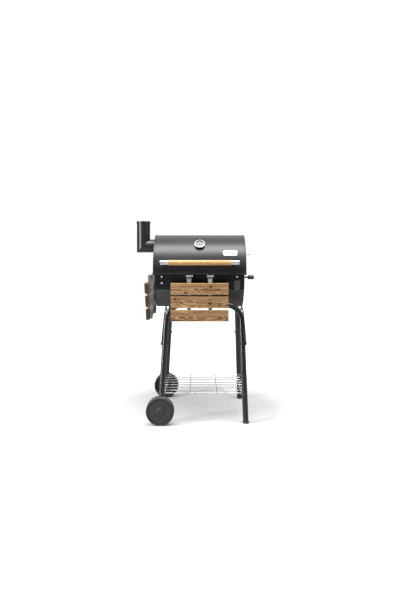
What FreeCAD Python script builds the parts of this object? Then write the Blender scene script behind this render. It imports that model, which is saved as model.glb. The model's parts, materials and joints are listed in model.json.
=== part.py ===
"""Barrel charcoal smoker on a wheeled leg frame, in millimetres.

+Z is up, +X runs along the barrel towards the grate lift, -Y is the side a cook stands at.
The origin is on the floor, under the middle of the whole object.
"""
import FreeCAD, Part
import math
import os
import re
import Sketcher

Vector = FreeCAD.Vector
Rotation = FreeCAD.Rotation
Placement = FreeCAD.Placement

SIZES = [
    # barrel
    ("barrel_x", 26.4, "middle of the barrel along X"),
    ("body_radius", 204, "outside of the lower barrel"),
    ("body_length", 489, "lower barrel, end to end"),
    ("sheet_wall", 1.5, "thickness of the barrel's sheet"),
    ("lid_gap", 1.5, "air between lid and lower barrel"),
    ("lid_overhang", 10.5, "how far the lid passes each end of the lower barrel"),
    ("lid_drop", 13, "how far the lid's edge hangs below the axis"),
    ("bead_width", 8, "rolled bead at each end of the lid"),
    ("bead_height", 1.5, "rolled bead, above the lid's sheet"),
    ("belly_depth", 94, "top edge of the lapped belly sheet, below the axis"),
    ("belly_inset", 4, "belly sheet's end, in from the lower barrel's end"),
    ("seat_gap", 0.3, "gap between a curved face and what is seated on it"),
    ("running_gap", 0.05, "radial clearance of a pin that turns"),
    # leg frames
    ("leg_tube", 15, "outer radius of the leg tube"),
    ("leg_wall", 1.5, "wall of the leg tube"),
    ("leg_top", 630, "height of the frame's top bar"),
    ("leg_bend", 88, "bend radius of the frame, at the tube's middle"),
    ("leg_tilt", 4.94, "lean of each frame towards the barrel, degrees"),
    ("foot_y", 236.5, "frame's distance from the middle, at the floor"),
    ("foot_x", 275.2, "right legs at the floor"),
    ("right_splay", 1.9, "right legs' lean, degrees"),
    ("axle_x", -184, "left legs at the axle"),
    ("left_splay", 3.4, "left legs' lean, degrees"),
    ("foot_floor", 4, "thickness under the foot cap's tube"),
    ("foot_height", 14, "height of the foot cap"),
    ("foot_wall", 1.6, "wall of the foot cap"),
    ("leg_below_axle", 19, "how far the left legs pass the axle"),
    ("saddle_gap", 33.8, "reach of the saddles between frame and belly"),
    ("saddle_width", 34, "saddle, along the barrel"),
    ("saddle_depth", 16, "saddle, across its reach"),
    ("saddle_offset", 95, "saddles, from the frame's middle"),
    # arched side braces
    ("brace_foot", 412, "height of the braces' ends"),
    ("brace_width", 18, "flat bar of the brace"),
    ("brace_wall", 4, "thickness of the brace"),
    ("frame_bolt", 3, "radius of the frame's bolts"),
    ("bolt_gap", 0.25, "radial clearance of a bolt's hole"),
    # bottom rack
    ("rack_z", 152, "height of the bottom rack's wires"),
    ("rack_wire", 2.4, "radius of the rack's wires"),
    ("rack_count", 8, "wires along X"),
    ("rack_cross_left", -27, "first cross wire"),
    ("rack_cross_right", 121, "second cross wire"),
    ("rack_eye", 8, "radius of the eyes that hold the rack"),
    # wheels
    ("wheel_radius", 75, "wheel's radius"),
    ("wheel_width", 40, "wheel's width"),
    ("wheel_gap", 4, "air between wheel and leg"),
    ("wheel_rim", 9, "rim, inwards from the tread"),
    ("wheel_dish", 5, "how far the wheel's face lies inside its rim"),
    ("wheel_hub", 18, "hub's radius"),
    ("axle_radius", 6, "shoulder of the axle bolt"),
    ("axle_head", 10, "radius of the axle bolt's head"),
    ("axle_thread", 4, "thread of the axle bolt"),
    # lid handle
    ("handle_z", 55, "handle over the axis"),
    ("handle_y", 250, "handle, out from the axis"),
    ("grip_radius", 14, "wooden grip"),
    ("grip_length", 337, "wooden grip"),
    ("ferrule_radius", 12.6, "metal ferrule"),
    ("ferrule_length", 43.5, "metal ferrule"),
    ("standoff_radius", 6, "post behind each ferrule"),
    # thermometer and badge
    ("dial_angle", 45.7, "thermometer, up the front of the lid, degrees"),
    ("dial_radius", 28.5, "outside of the case"),
    ("dial_depth", 14, "depth of the case"),
    ("case_wall", 1.4, "wall of the case"),
    ("stem_radius", 3, "probe through the lid"),
    ("stem_length", 42, "probe inside the lid"),
    ("needle_pin", 0.8, "pin of the needle"),
    ("badge_angle", 30.5, "badge, up the front of the lid, degrees"),
    ("badge_x", 167.6, "badge, from the barrel's middle"),
    ("badge_length", 78, "badge"),
    ("badge_height", 34, "badge"),
    ("badge_corner", 9, "badge's corner radius"),
    ("badge_wall", 1.2, "badge's thickness"),
    # chimney
    ("chimney_z", 145, "horizontal pipe over the axis"),
    ("chimney_reach", 72.4, "upright pipe, out from the lid's end"),
    ("chimney_radius", 38, "pipe's outside"),
    ("chimney_wall", 1.5, "pipe's wall"),
    ("chimney_rise", 141, "upright pipe over the horizontal one"),
    ("flange_radius", 45.5, "plate round the pipe on the lid's end"),
    ("flange_wall", 2, "plate's thickness"),
    ("band_height", 12, "band round the chimney's top"),
    ("band_wall", 1.4, "band's thickness"),
    ("cap_wall", 1.5, "damper cap's thickness"),
    ("cap_pivot", 46, "damper cap's screw, behind the pipe's axis"),
    ("cap_screw", 2.5, "radius of the damper cap's screw"),
    # warming rack inside the lid
    ("warm_z", 96, "pivot rod over the axis"),
    ("warm_rod", 2.4, "rod's radius"),
    ("warm_reach", 41, "rod, out from the lid's right end"),
    ("warm_half", 84, "half the rack's depth"),
    ("warm_drop", 30, "rack under its rod"),
    ("warm_length", 440, "rack along the barrel"),
    ("warm_count", 9, "wires of the rack"),
    # cooking grates and charcoal lift
    ("rest_z", 14, "top of the grate rests, below the axis"),
    ("rest_ledge", 22, "width of the rests' ledge"),
    ("grate_wire", 2.5, "radius of the grates' wires"),
    ("grate_bars", 12, "bars of one cooking grate"),
    ("grate_side_gap", 3, "cooking grates, from the walls and from each other"),
    ("lift_z", 37, "lift rods at their highest, below the axis"),
    ("lift_travel", 60, "travel of the charcoal grate"),
    ("lift_rod", 5, "radius of the lift rods"),
    ("lift_slot_gap", 0.4, "clearance of a lift rod in its slot"),
    ("tray_width", 236, "charcoal grate across the barrel"),
    ("tray_gap", 14, "charcoal grate, from each end of the barrel"),
    ("tray_wall", 2, "charcoal grate's sheet"),
    ("tray_rim", 18, "charcoal grate's upturned ends"),
    ("slot_length", 88, "slots of the charcoal grate"),
    ("slot_width", 7, "slots of the charcoal grate"),
    ("slot_pitch", 16, "slots of the charcoal grate"),
    ("slot_count", 24, "slots of the charcoal grate"),
    ("knob_radius", 12, "lift knobs"),
    ("knob_length", 30, "right lift knob"),
    ("left_knob_length", 14, "left lift knob"),
    ("right_rod_reach", 69.4, "right rod's end, out from the lower barrel"),
    ("left_rod_reach", 34, "left rod's end, out from the lower barrel"),
    ("guide_wall", 2, "guide plate round each lift slot"),
    ("guide_width", 34, "guide plate"),
    # bolts on the barrel
    ("bolt_x", 205, "barrel bolts, from the barrel's middle"),
    ("bolt_high", 23.5, "upper bolts, below the axis"),
    ("bolt_low", 59, "lower bolts, below the axis"),
    ("bolt_head", 6, "bolt head's radius"),
    ("bolt_dome", 3.4, "bolt head's height"),
    ("nut_height", 4, "nut"),
    ("damper_width", 32, "air damper plate"),
    ("damper_above", 15, "air damper plate, over its pivot"),
    ("damper_below", 41, "air damper plate, under its pivot"),
    ("damper_wall", 1.5, "air damper plate"),
    ("air_hole", 9, "radius of the air hole"),
    ("air_drop", 22, "air hole, under the damper's pivot"),
    # folding shelves
    ("board_length", 310, "shelf boards"),
    ("board_width", 60.6, "shelf boards"),
    ("board_wall", 20, "shelf boards"),
    ("board_pitch", 71.7, "shelf boards"),
    ("board_round", 1.2, "shelf boards' edges"),
    ("board_start", 35, "first board, from the hinge"),
    ("board_seat", 13.8, "boards' inner face, out from the hinge"),
    ("arm_inner", 19, "arm's inner edge at the hinge"),
    ("arm_tip", 14, "arm's depth at its tip"),
    ("arm_length", 236, "arm, from the hinge to its tip"),
    ("arm_above", 9, "arm over the hinge"),
    ("arm_width", 19, "arm across"),
    ("arm_sheet", 1.5, "arm's sheet"),
    ("ear_gap", 0.4, "air between an arm and each ear"),
    ("ear_wall", 3, "hinge ears"),
    ("ear_above", 5.4, "hinge ears over the pin"),
    ("ear_below", 30, "hinge ears under the pin"),
    ("ear_front", 9, "hinge ears, out from the pin"),
    ("hinge_pin", 3, "radius of the shelves' hinge pins"),
    ("screw_radius", 2.2, "board screws"),
    ("screw_head", 4.2, "board screws' heads"),
    ("screw_depth", 14, "board screws in the wood"),
    ("front_spacing", 114, "front shelf's arms"),
    ("front_hinge_y", 229, "front shelf's hinge"),
    ("front_hinge_z", 20, "front shelf's hinge, below the axis"),
    ("left_spacing", 240, "left shelf's arms"),
    ("left_hinge_x", 31.4, "left shelf's hinge, out from the lower barrel's end"),
    ("left_hinge_z", 25, "left shelf's hinge, below the axis"),
    ("left_lean", 3, "left shelf's lean as it hangs, degrees"),
    # lid hinges
    ("lid_axis_y", 222, "lid's hinge behind the barrel's axis"),
    ("knuckle_radius", 5, "hinge knuckles"),
    ("lid_pin", 2.5, "hinge pins"),
    ("leaf_wall", 2.5, "hinge leaves"),
    ("leaf_width", 40, "hinge leaves along the barrel"),
    ("leaf_height", 30, "hinge leaves up and down the sheet"),
    ("lid_hinge_x", 150, "lid hinges, from the barrel's middle"),
]

# Sizes that follow from the driving ones. Each may use the ones above it.
DERIVED = [
    ("lid_radius", "body_radius + lid_gap + sheet_wall"),
    ("lid_length", "body_length + 2*lid_overhang"),
    ("belly_outer", "body_radius + seat_gap + sheet_wall"),
    ("frame_reach", "belly_outer + saddle_gap + leg_tube"),
    ("frame_top_y", "foot_y - leg_top*tan(leg_tilt)"),
    ("axis_z", "leg_top + sqrt(frame_reach^2 - frame_top_y^2)"),
    ("saddle_angle", "acos(frame_top_y/frame_reach)"),
    ("body_left", "barrel_x - body_length/2"),
    ("body_right", "barrel_x + body_length/2"),
    ("lid_left", "barrel_x - lid_length/2"),
    ("lid_right", "barrel_x + lid_length/2"),
    ("lid_sweep", "2*acos(-lid_drop/lid_radius)"),
    ("belly_sweep", "2*acos(belly_depth/belly_outer)"),
    ("leg_face", "leg_tube/cos(leg_tilt) + seat_gap"),
    ("rack_side_y", "foot_y - (rack_z + rack_eye)*tan(leg_tilt) - leg_face - rack_wire"),
    ("rack_left", "axle_x + (rack_z - wheel_radius)*tan(left_splay)"),
    ("rack_right", "foot_x - rack_z*tan(right_splay)"),
    ("axle_y", "foot_y - wheel_radius*tan(leg_tilt)"),
    ("wheel_y", "axle_y + leg_face + wheel_gap"),
    ("brace_apex", "axis_z - belly_outer - seat_gap - brace_foot"),
    ("brace_y", "foot_y - brace_foot*tan(leg_tilt)"),
    ("arm_outer_width", "arm_width + 2*ear_gap + 2*ear_wall"),
    ("left_shelf_x", "body_left - left_hinge_x"),
    ("front_shelf_z", "axis_z - front_hinge_z"),
    ("left_shelf_z", "axis_z - left_hinge_z"),
    ("inner_radius", "body_radius - sheet_wall"),
    ("grate_top", "axis_z - rest_z + 2*grate_wire"),
    ("grate_half", "sqrt(inner_radius^2 - rest_z^2) - grate_side_gap"),
    ("tray_z", "axis_z - lift_z"),
    ("tray_length", "body_length - 2*sheet_wall - 2*tray_gap"),
    ("upright_x", "lid_left - chimney_reach"),
    ("chimney_top", "axis_z + chimney_z + chimney_rise"),
]

ALONG_X = Rotation(Vector(0, 1, 0), 90)
ALONG_Y = Rotation(Vector(1, 0, 0), -90)
UPRIGHT = Rotation()
FRONT_NAMES = ("front", "rear")
SIDE_NAMES = ("left", "right")

doc = FreeCAD.newDocument("barrel_smoker")
sheet = doc.addObject("Spreadsheet::Sheet", "Sizes")
derived = doc.addObject("App::VarSet", "Derived")
owner = {}
subparts = []


def formula(text):
    """Point every size's name in an expression at its cell or its derived value."""
    def full_name(word):
        return owner.get(word[0], "") + word[0]
    return re.sub(r"\b[a-z]\w*\b", full_name, str(text))


def number(text):
    """Read an expression's present value."""
    return float(derived.evalExpression(formula(text)))


def bind(thing, **expressions):
    """Tie properties to expressions; a double underscore stands for a dot."""
    for prop, text in expressions.items():
        thing.setExpression(prop.replace("__", "."), formula(text))
    return thing


def place(thing, at, rotation=UPRIGHT):
    """Turn a thing, then tie its base point to three expressions."""
    thing.Placement = Placement(Vector(), rotation)
    for axis, text in zip("xyz", at):
        thing.setExpression("Placement.Base." + axis, formula(text))
    return thing


def write_sizes():
    """Fill the sheet, then add the derived values."""
    for row, (name, size, note) in enumerate(SIZES, start=1):
        sheet.set("A%d" % row, name)
        sheet.set("B%d" % row, str(size))
        sheet.set("C%d" % row, note)
        sheet.setAlias("B%d" % row, name)
        owner[name] = "Sizes."
    doc.recompute()
    for name, text in DERIVED:
        derived.addProperty("App::PropertyFloat", name)
        derived.setExpression(name, formula(text))
        owner[name] = "Derived."
        doc.recompute()


# ---- primitives and booleans -------------------------------------------------------------

def drum(name, radius, length, at, rotation=UPRIGHT):
    cylinder = doc.addObject("Part::Cylinder", name)
    bind(cylinder, Radius=radius, Height=length)
    return place(cylinder, at, rotation)


def block(name, size, at, rotation=UPRIGHT):
    """A box from its lowest corner."""
    box = doc.addObject("Part::Box", name)
    bind(box, Length=size[0], Width=size[1], Height=size[2])
    return place(box, at, rotation)


def slab(name, size, middle):
    """A box about its middle."""
    corner = ["%s - (%s)/2" % (spot, width) for spot, width in zip(middle, size)]
    return block(name, size, corner)


def dome(name, radius, height, at, rotation=UPRIGHT):
    half = doc.addObject("Part::Ellipsoid", name)
    half.Angle1 = 0
    bind(half, Radius1=height, Radius2=radius, Radius3=radius)
    return place(half, at, rotation)


def hexagon(name, radius, height, at, rotation=UPRIGHT):
    prism = doc.addObject("Part::Prism", name)
    prism.Polygon = 6
    bind(prism, Circumradius=radius, Height=height)
    return place(prism, at, rotation)


def fuse(name, pieces):
    joined = doc.addObject("Part::MultiFuse", name)
    joined.Shapes = pieces
    return joined


def common(name, pieces):
    shared = doc.addObject("Part::MultiCommon", name)
    shared.Shapes = pieces
    return shared


def cut(name, base, tools):
    remains = doc.addObject("Part::Cut", name)
    remains.Base = base
    remains.Tool = tools[0] if len(tools) == 1 else fuse(name + "_tools", tools)
    return remains


def group(name, pieces):
    together = doc.addObject("Part::Compound", name)
    together.Links = pieces
    return together


def pipe_between(name, outer, inner, length, at, rotation=UPRIGHT):
    """A straight tube."""
    return cut(name, drum(name + "_outer", outer, length, at, rotation),
               [drum(name + "_bore", inner, length, at, rotation)])


def barrel_shell(name, inner, outer, length, left):
    """A whole round shell about the barrel's axis, to be trimmed."""
    return pipe_between(name, outer, inner, length, (left, 0, "axis_z"), ALONG_X)


def subpart(thing, node):
    """Name a finished sub-part after its node."""
    thing.Label = node
    subparts.append(thing)
    return thing


# ---- bodies and sketches -----------------------------------------------------------------

def new_body(name, at, rotation=UPRIGHT):
    return place(doc.addObject("PartDesign::Body", name), at, rotation)


def new_sketch(body, name, role):
    sketch = body.newObject("Sketcher::SketchObject", name)
    plane = next(feature for feature in body.Origin.OriginFeatures if feature.Role == role)
    sketch.AttachmentSupport = [(plane, "")]
    sketch.MapMode = "FlatFace"
    return sketch


def hold(sketch, kind, geometry, point, text):
    """Fix one coordinate of a point, measured from the sketch's origin."""
    rule = Sketcher.Constraint(kind, -1, 1, geometry, point, number(text))
    sketch.setExpression("Constraints[%d]" % sketch.addConstraint(rule), formula(text))


def hold_radius(sketch, geometry, text):
    rule = Sketcher.Constraint("Radius", geometry, number(text))
    sketch.setExpression("Constraints[%d]" % sketch.addConstraint(rule), formula(text))


def outline(sketch, corners):
    """Draw a closed outline whose corners are held at pairs of expressions."""
    spots = [Vector(number(across), number(up), 0) for across, up in corners]
    first = sketch.GeometryCount
    for index, spot in enumerate(spots):
        following = spots[(index + 1) % len(spots)]
        sketch.addGeometry(Part.LineSegment(spot, following), False)
    for index, (across, up) in enumerate(corners):
        last = first + (index - 1) % len(corners)
        sketch.addConstraint(Sketcher.Constraint("Coincident", last, 2, first + index, 1))
        hold(sketch, "DistanceX", first + index, 1, across)
        hold(sketch, "DistanceY", first + index, 1, up)


def rectangle(sketch, left, low, right, high):
    outline(sketch, [(left, low), (right, low), (right, high), (left, high)])


def circle(sketch, across, up, radius):
    middle = Vector(number(across), number(up), 0)
    ring = sketch.addGeometry(Part.Circle(middle, Vector(0, 0, 1), number(radius)), False)
    hold(sketch, "DistanceX", ring, 3, across)
    hold(sketch, "DistanceY", ring, 3, up)
    hold_radius(sketch, ring, radius)


def pad(body, sketch, length, midplane=False):
    feature = body.newObject("PartDesign::Pad", sketch.Name + "_pad")
    feature.Profile = sketch
    bind(feature, Length=length)
    feature.Midplane = midplane
    return feature


def pocket(body, sketch, length, midplane=True):
    feature = body.newObject("PartDesign::Pocket", sketch.Name + "_pocket")
    feature.Profile = sketch
    bind(feature, Length=length)
    feature.Midplane = midplane
    return feature


def revolve(body, sketch, axis, sweep=360):
    feature = body.newObject("PartDesign::Revolution", sketch.Name + "_turn")
    feature.Profile = sketch
    feature.ReferenceAxis = (sketch, [axis])
    bind(feature, Angle=sweep)
    feature.Midplane = True
    return feature


def round_edges(body, feature, radius):
    fillet = body.newObject("PartDesign::Fillet", feature.Name + "_round")
    fillet.Base = (feature, ["Edge1"])
    fillet.UseAllEdges = True
    bind(fillet, Radius=radius)
    return fillet


# ---- places ------------------------------------------------------------------------------

def leg_y(height):
    return "(foot_y - (%s)*tan(leg_tilt))" % height


def leg_x(side, height):
    if side == "left":
        return "(axle_x + ((%s) - wheel_radius)*tan(left_splay))" % height
    return "(foot_x - (%s)*tan(right_splay))" % height


def on_barrel(radius, angle, across):
    """A spot on a round shell's front, at an angle above the axis, and its outward turn."""
    at = (across, "-(%s)*cos(%s)" % (radius, angle), "axis_z + (%s)*sin(%s)" % (radius, angle))
    return at, Rotation(Vector(1, 0, 0), 90 - number(angle))


def bolt(name, grip, at, rotation, lift="0"):
    """A dome-headed bolt with its nut; the head sits at the local height lift, facing local +Z."""
    nut_at = "%s - (%s) - nut_height" % (lift, grip)
    pieces = [
        dome(name + "_head", "bolt_head", "bolt_dome", (0, 0, lift)),
        drum(name + "_shank", "frame_bolt", "%s + nut_height + 1" % grip, (0, 0, nut_at + " - 1")),
        hexagon(name + "_nut", "bolt_head", "nut_height", (0, 0, nut_at)),
    ]
    return place(fuse(name, pieces), at, rotation)


# ---- leg frames, braces, rack, wheels ----------------------------------------------------

def bend_points(radius):
    """The frame's corners and tangent points, in the frame's own plane."""
    top = number("(leg_top - foot_floor)/cos(leg_tilt)")
    right, left = number("right_splay"), number("left_splay")
    low = number("(wheel_radius - leg_below_axle - foot_floor)/cos(leg_tilt)")
    start = Vector(0, 0, 0)
    end = Vector(number(leg_x("left", "wheel_radius - leg_below_axle") + " - " +
                        leg_x("right", "foot_floor")), low, 0)
    up = Vector(-math.sin(math.radians(right)), math.cos(math.radians(right)), 0)
    down = Vector(-math.sin(math.radians(left)), -math.cos(math.radians(left)), 0)
    right_corner = up * (top / up.y)
    left_corner = end - down * ((top - low) / -down.y)
    return start, right_corner, left_corner, end, up, down


def frame_path(body, name):
    """Right leg, bend, top bar, bend and left leg, tangent to each other."""
    path = new_sketch(body, name, "XZ_Plane")
    radius = number("leg_bend")
    start, right_corner, left_corner, end, up, down = bend_points(radius)
    across = Vector(-1, 0, 0)
    runs = []
    for corner, before, after in ((right_corner, up, across), (left_corner, across, down)):
        reach = radius * math.tan(before.getAngle(after) / 2)
        runs += [corner - before * reach, corner + after * reach]
        middle = runs[-2] + before.cross(Vector(0, 0, -1)) * 0 + Vector(-before.y, before.x, 0) * radius
        runs.append(middle + (corner - middle).normalize() * radius)
    leave_right, join_top, right_mid, leave_top, join_left, left_mid = runs
    path.addGeometry(Part.LineSegment(start, leave_right), False)
    path.addGeometry(Part.Arc(leave_right, right_mid, join_top), False)
    path.addGeometry(Part.LineSegment(join_top, leave_top), False)
    path.addGeometry(Part.Arc(leave_top, left_mid, join_left), False)
    path.addGeometry(Part.LineSegment(join_left, end), False)
    return path


def pin_frame_path(path):
    """Hold the path by its feet, its top bar, its lean and its bends."""
    path.addConstraint(Sketcher.Constraint("Coincident", 0, 1, -1, 1))
    arc_starts = {1: path.Geometry[1], 3: path.Geometry[3]}
    for arc, curve in arc_starts.items():
        before_end = path.Geometry[arc - 1].EndPoint
        begins = 1 if curve.StartPoint.distanceToPoint(before_end) < 0.01 else 2
        path.addConstraint(Sketcher.Constraint("Tangent", arc - 1, 2, arc, begins))
        path.addConstraint(Sketcher.Constraint("Tangent", arc, 3 - begins, arc + 1, 1))
        hold_radius(path, arc, "leg_bend")
    path.addConstraint(Sketcher.Constraint("Horizontal", 2))
    hold(path, "DistanceY", 2, 1, "(leg_top - foot_floor)/cos(leg_tilt)")
    hold(path, "DistanceX", 4, 2, leg_x("left", "wheel_radius - leg_below_axle") + " - " +
         leg_x("right", "foot_floor"))
    hold(path, "DistanceY", 4, 2, "(wheel_radius - leg_below_axle - foot_floor)/cos(leg_tilt)")
    for line, lean in ((0, "90 + right_splay"), (4, "90 + left_splay")):
        tilt = number(lean) if line == 0 else -number(lean)
        text = lean if line == 0 else "-(%s)" % lean
        rule = Sketcher.Constraint("Angle", -1, 1, line, 1, math.radians(tilt))
        path.setExpression("Constraints[%d]" % path.addConstraint(rule), formula(text))


def leg_frame(end, sign):
    """An inverted U of bent tube, leaning towards the barrel."""
    name = end + "_leg_frame"
    lean = Rotation(Vector(1, 0, 0), -sign * -number("leg_tilt"))
    at = (leg_x("right", "foot_floor"), "%d*%s" % (sign, leg_y("foot_floor")), "foot_floor")
    body = new_body(name + "_tube", at, lean)
    path = frame_path(body, name + "_path")
    pin_frame_path(path)
    ring = new_sketch(body, name + "_ring", "XY_Plane")
    circle(ring, 0, 0, "leg_tube")
    circle(ring, 0, 0, "leg_tube - leg_wall")
    sweep = body.newObject("PartDesign::AdditivePipe", name + "_sweep")
    sweep.Profile = ring
    sweep.Spine = (path, ["Edge%d" % edge for edge in range(1, 6)])
    drills = [drum(name + "_axle_hole", "axle_thread + bolt_gap", "6*leg_tube",
                   (leg_x("left", "wheel_radius"), "%d*axle_y - 3*leg_tube" % sign, "wheel_radius"),
                   ALONG_Y)]
    for side in SIDE_NAMES:
        drills.append(drum(name + "_rack_hole_" + side, "frame_bolt + bolt_gap", "6*leg_tube",
                           (leg_x(side, "rack_z"), "%d*%s - 3*leg_tube" % (sign, leg_y("rack_z")),
                            "rack_z"), ALONG_Y))
        height = "brace_foot + brace_width/2"
        drills.append(drum(name + "_brace_hole_" + side, "frame_bolt + bolt_gap", "6*leg_tube",
                           ("%s - 3*leg_tube" % leg_x(side, height), "%d*%s" % (sign, leg_y(height)),
                            height), ALONG_X))
    subpart(cut(name, body, drills), name)


def side_brace(side, sign):
    """A flat bar arched from the front leg, under the barrel, to the rear leg."""
    name = side + "_side_brace"
    splay = "%s_splay" % side
    at = ("%s + %d*(leg_tube + seat_gap)/cos(%s)" % (leg_x(side, "brace_foot"), sign, splay), 0,
          "brace_foot")
    body = new_body(name + "_bar", at, Rotation(Vector(0, 1, 0), -sign * number(splay)))
    apex = "(brace_apex/cos(%s) - brace_width/2)" % splay
    middle = "(brace_y^2 + %s^2)/(2*%s)" % (apex, apex)
    sketch = new_sketch(body, name + "_arch", "YZ_Plane")
    centre = "%s - %s" % (apex, middle)
    circle(sketch, 0, centre, "%s + brace_width/2" % middle)
    circle(sketch, 0, centre, "%s - brace_width/2" % middle)
    feature = pad(body, sketch, "brace_wall")
    feature.Reversed = sign < 0
    below = new_sketch(body, name + "_below", "YZ_Plane")
    rectangle(below, "-2*(%s)" % middle, "-3*(%s)" % middle, "2*(%s)" % middle, 0)
    pocket(body, below, "4*brace_wall")
    holes = new_sketch(body, name + "_holes", "YZ_Plane")
    for way in (-1, 1):
        circle(holes, "%d*%s" % (way, leg_y("brace_foot + brace_width/2")), "brace_width/2",
               "frame_bolt + bolt_gap")
    pocket(body, holes, "4*brace_wall")
    subpart(body, name)


def frame_bolts():
    """Bolts through the legs that hold the braces and the bottom rack."""
    bolts = []
    height = "brace_foot + brace_width/2"
    for side, way in zip(SIDE_NAMES, (-1, 1)):
        for end, sign in zip(FRONT_NAMES, (-1, 1)):
            slack = "seat_gap + bolt_head*tan(%s_splay)" % side
            face = "(leg_tube + seat_gap + brace_wall)/cos(%s_splay) + %s" % (side, slack)
            bolts.append(bolt("brace_bolt_%s_%s" % (side, end), "%s + leg_tube + %s" % (face, slack),
                              ("%s + %d*(%s)" % (leg_x(side, height), way, face),
                               "%d*%s" % (sign, leg_y(height)), height),
                              Rotation(Vector(0, 1, 0), 90 * way)))
            face = "%s + leg_face + bolt_head*tan(leg_tilt)" % leg_y("rack_z")
            bolts.append(bolt("rack_bolt_%s_%s" % (side, end),
                              "%s - rack_side_y + rack_wire + seat_gap" % face,
                              (leg_x(side, "rack_z"), "%d*(%s)" % (sign, face), "rack_z"),
                              Rotation(Vector(1, 0, 0), -90 * sign)))
    subpart(group("frame_bolts", bolts), "frame_bolts")


def foot_caps():
    """Caps on the right legs, cut level with the floor."""
    caps = []
    lean = number("leg_tilt")
    splay = number("right_splay")
    for end, sign in zip(FRONT_NAMES, (-1, 1)):
        name = end + "_foot_cap"
        turn = Rotation(Vector(1, 0, 0), sign * lean) * Rotation(Vector(0, 1, 0), -splay)
        floor_at = (leg_x("right", "0"), "%d*foot_y" % sign, 0)
        outer = drum(name + "_outer", "leg_tube + foot_wall", "foot_height", (0, 0, 0))
        lower = drum(name + "_lower", "leg_tube + foot_wall", "foot_height", (0, 0, "-foot_height/2"))
        bore = drum(name + "_bore", "leg_tube + seat_gap/2", "foot_height", (0, 0, "foot_floor - 0.9"))
        cup = place(cut(name + "_cup", fuse(name + "_body", [outer, lower]), [bore]), floor_at, turn)
        under = slab(name + "_under", ["6*leg_tube", "6*leg_tube", "4*foot_height"],
                     (floor_at[0], floor_at[1], "-2*foot_height"))
        caps.append(cut(name, cup, [under]))
    subpart(group("foot_caps", caps), "foot_caps")


def saddles():
    """Blocks that carry the belly on the frames' top bars."""
    pieces = []
    for end, sign in zip(FRONT_NAMES, (-1, 1)):
        for side, way in zip(SIDE_NAMES, (-1, 1)):
            name = "%s_%s_saddle" % (end, side)
            across = "(%s + %s)/2 + %d*saddle_offset" % (leg_x("left", "leg_top"),
                                                         leg_x("right", "leg_top"), way)
            angle = "saddle_angle"
            raw = block(name + "_block", ["saddle_width", "saddle_depth", "frame_reach - body_radius"],
                        ("-saddle_width/2", "-saddle_depth/2", "body_radius"))
            turn = Rotation(Vector(1, 0, 0), -sign * (90 + number(angle)))
            held = place(group(name + "_held", [raw]), (across, 0, "axis_z"), turn)
            belly = drum(name + "_belly", "belly_outer + seat_gap", "body_length",
                         ("body_left", 0, "axis_z"), ALONG_X)
            bar = drum(name + "_bar", "leg_tube + seat_gap", "body_length",
                       ("body_left", "%d*frame_top_y" % sign, "leg_top"), ALONG_X)
            pieces.append(cut(name, held, [belly, bar]))
    subpart(group("frame_saddles", pieces), "frame_saddles")


def wire_x(name, radius, left, right, y, z):
    return drum(name, radius, "(%s) - (%s)" % (right, left), (left, y, z), ALONG_X)


def wire_y(name, radius, near, far, x, z):
    return drum(name, radius, "(%s) - (%s)" % (far, near), (x, near, z), ALONG_Y)


def bottom_rack():
    """Long wires between the legs on two pairs of cross wires, with an eye at each leg."""
    wires = []
    count = int(number("rack_count"))
    for index in range(count):
        y = "-rack_side_y + %d*2*rack_side_y/(rack_count - 1)" % index
        wires.append(wire_x("rack_wire_%d" % index, "rack_wire", "rack_left", "rack_right", y, "rack_z"))
    crosses = ("rack_left + 2*rack_eye", "rack_cross_left", "rack_cross_right", "rack_right - 2*rack_eye")
    for index, x in enumerate(crosses):
        wires.append(wire_y("rack_cross_%d" % index, "rack_wire", "-rack_side_y", "rack_side_y", x,
                            "rack_z - 1.6*rack_wire"))
    holes = []
    for sign in (-1, 1):
        for side in SIDE_NAMES:
            spot = ("rack_" + side, "%d*rack_side_y - 0.8*rack_wire" % sign, "rack_z")
            name = "rack_eye_%s_%d" % (side, sign + 1)
            wires.append(drum(name, "rack_eye", "1.6*rack_wire", spot, ALONG_Y))
            through = (spot[0], "%d*rack_side_y - 3*rack_wire" % sign, spot[2])
            holes.append(drum(name + "_hole", "frame_bolt + bolt_gap", "6*rack_wire", through, ALONG_Y))
    subpart(cut("bottom_rack", fuse("rack_wires", wires), holes), "bottom_rack")


def wheel(end, sign):
    """A moulded disc wheel, turned about the axle; local +Y points away from the barrel."""
    turn = UPRIGHT if sign > 0 else Rotation(Vector(0, 0, 1), 180)
    body = new_body(end + "_wheel", ("axle_x", "%d*wheel_y" % sign, "wheel_radius"), turn)
    profile = new_sketch(body, end + "_wheel_profile", "YZ_Plane")
    bore = "axle_radius + running_gap"
    web_in = "wheel_width/2 - 2"
    web_out = "wheel_width - wheel_dish"
    hub_out = "wheel_width - 2"
    rim = "wheel_radius - wheel_rim"
    outline(profile, [
        (0, bore), (0, "wheel_hub"), (web_in, "wheel_hub + 1"), (web_in, rim), (0, rim + " + 2"),
        (0, "wheel_radius - 2"), (2, "wheel_radius"), ("wheel_width - 3", "wheel_radius"),
        ("wheel_width", "wheel_radius - 3"), ("wheel_width", rim + " + 1"), (web_out, rim),
        (web_out, "wheel_hub + 2"), (hub_out, "wheel_hub"), (hub_out, "axle_head + 1"),
        (web_out, "axle_head + 1"), (web_out, bore)])
    revolve(body, profile, "H_Axis")
    subpart(body, end + "_wheel")


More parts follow.
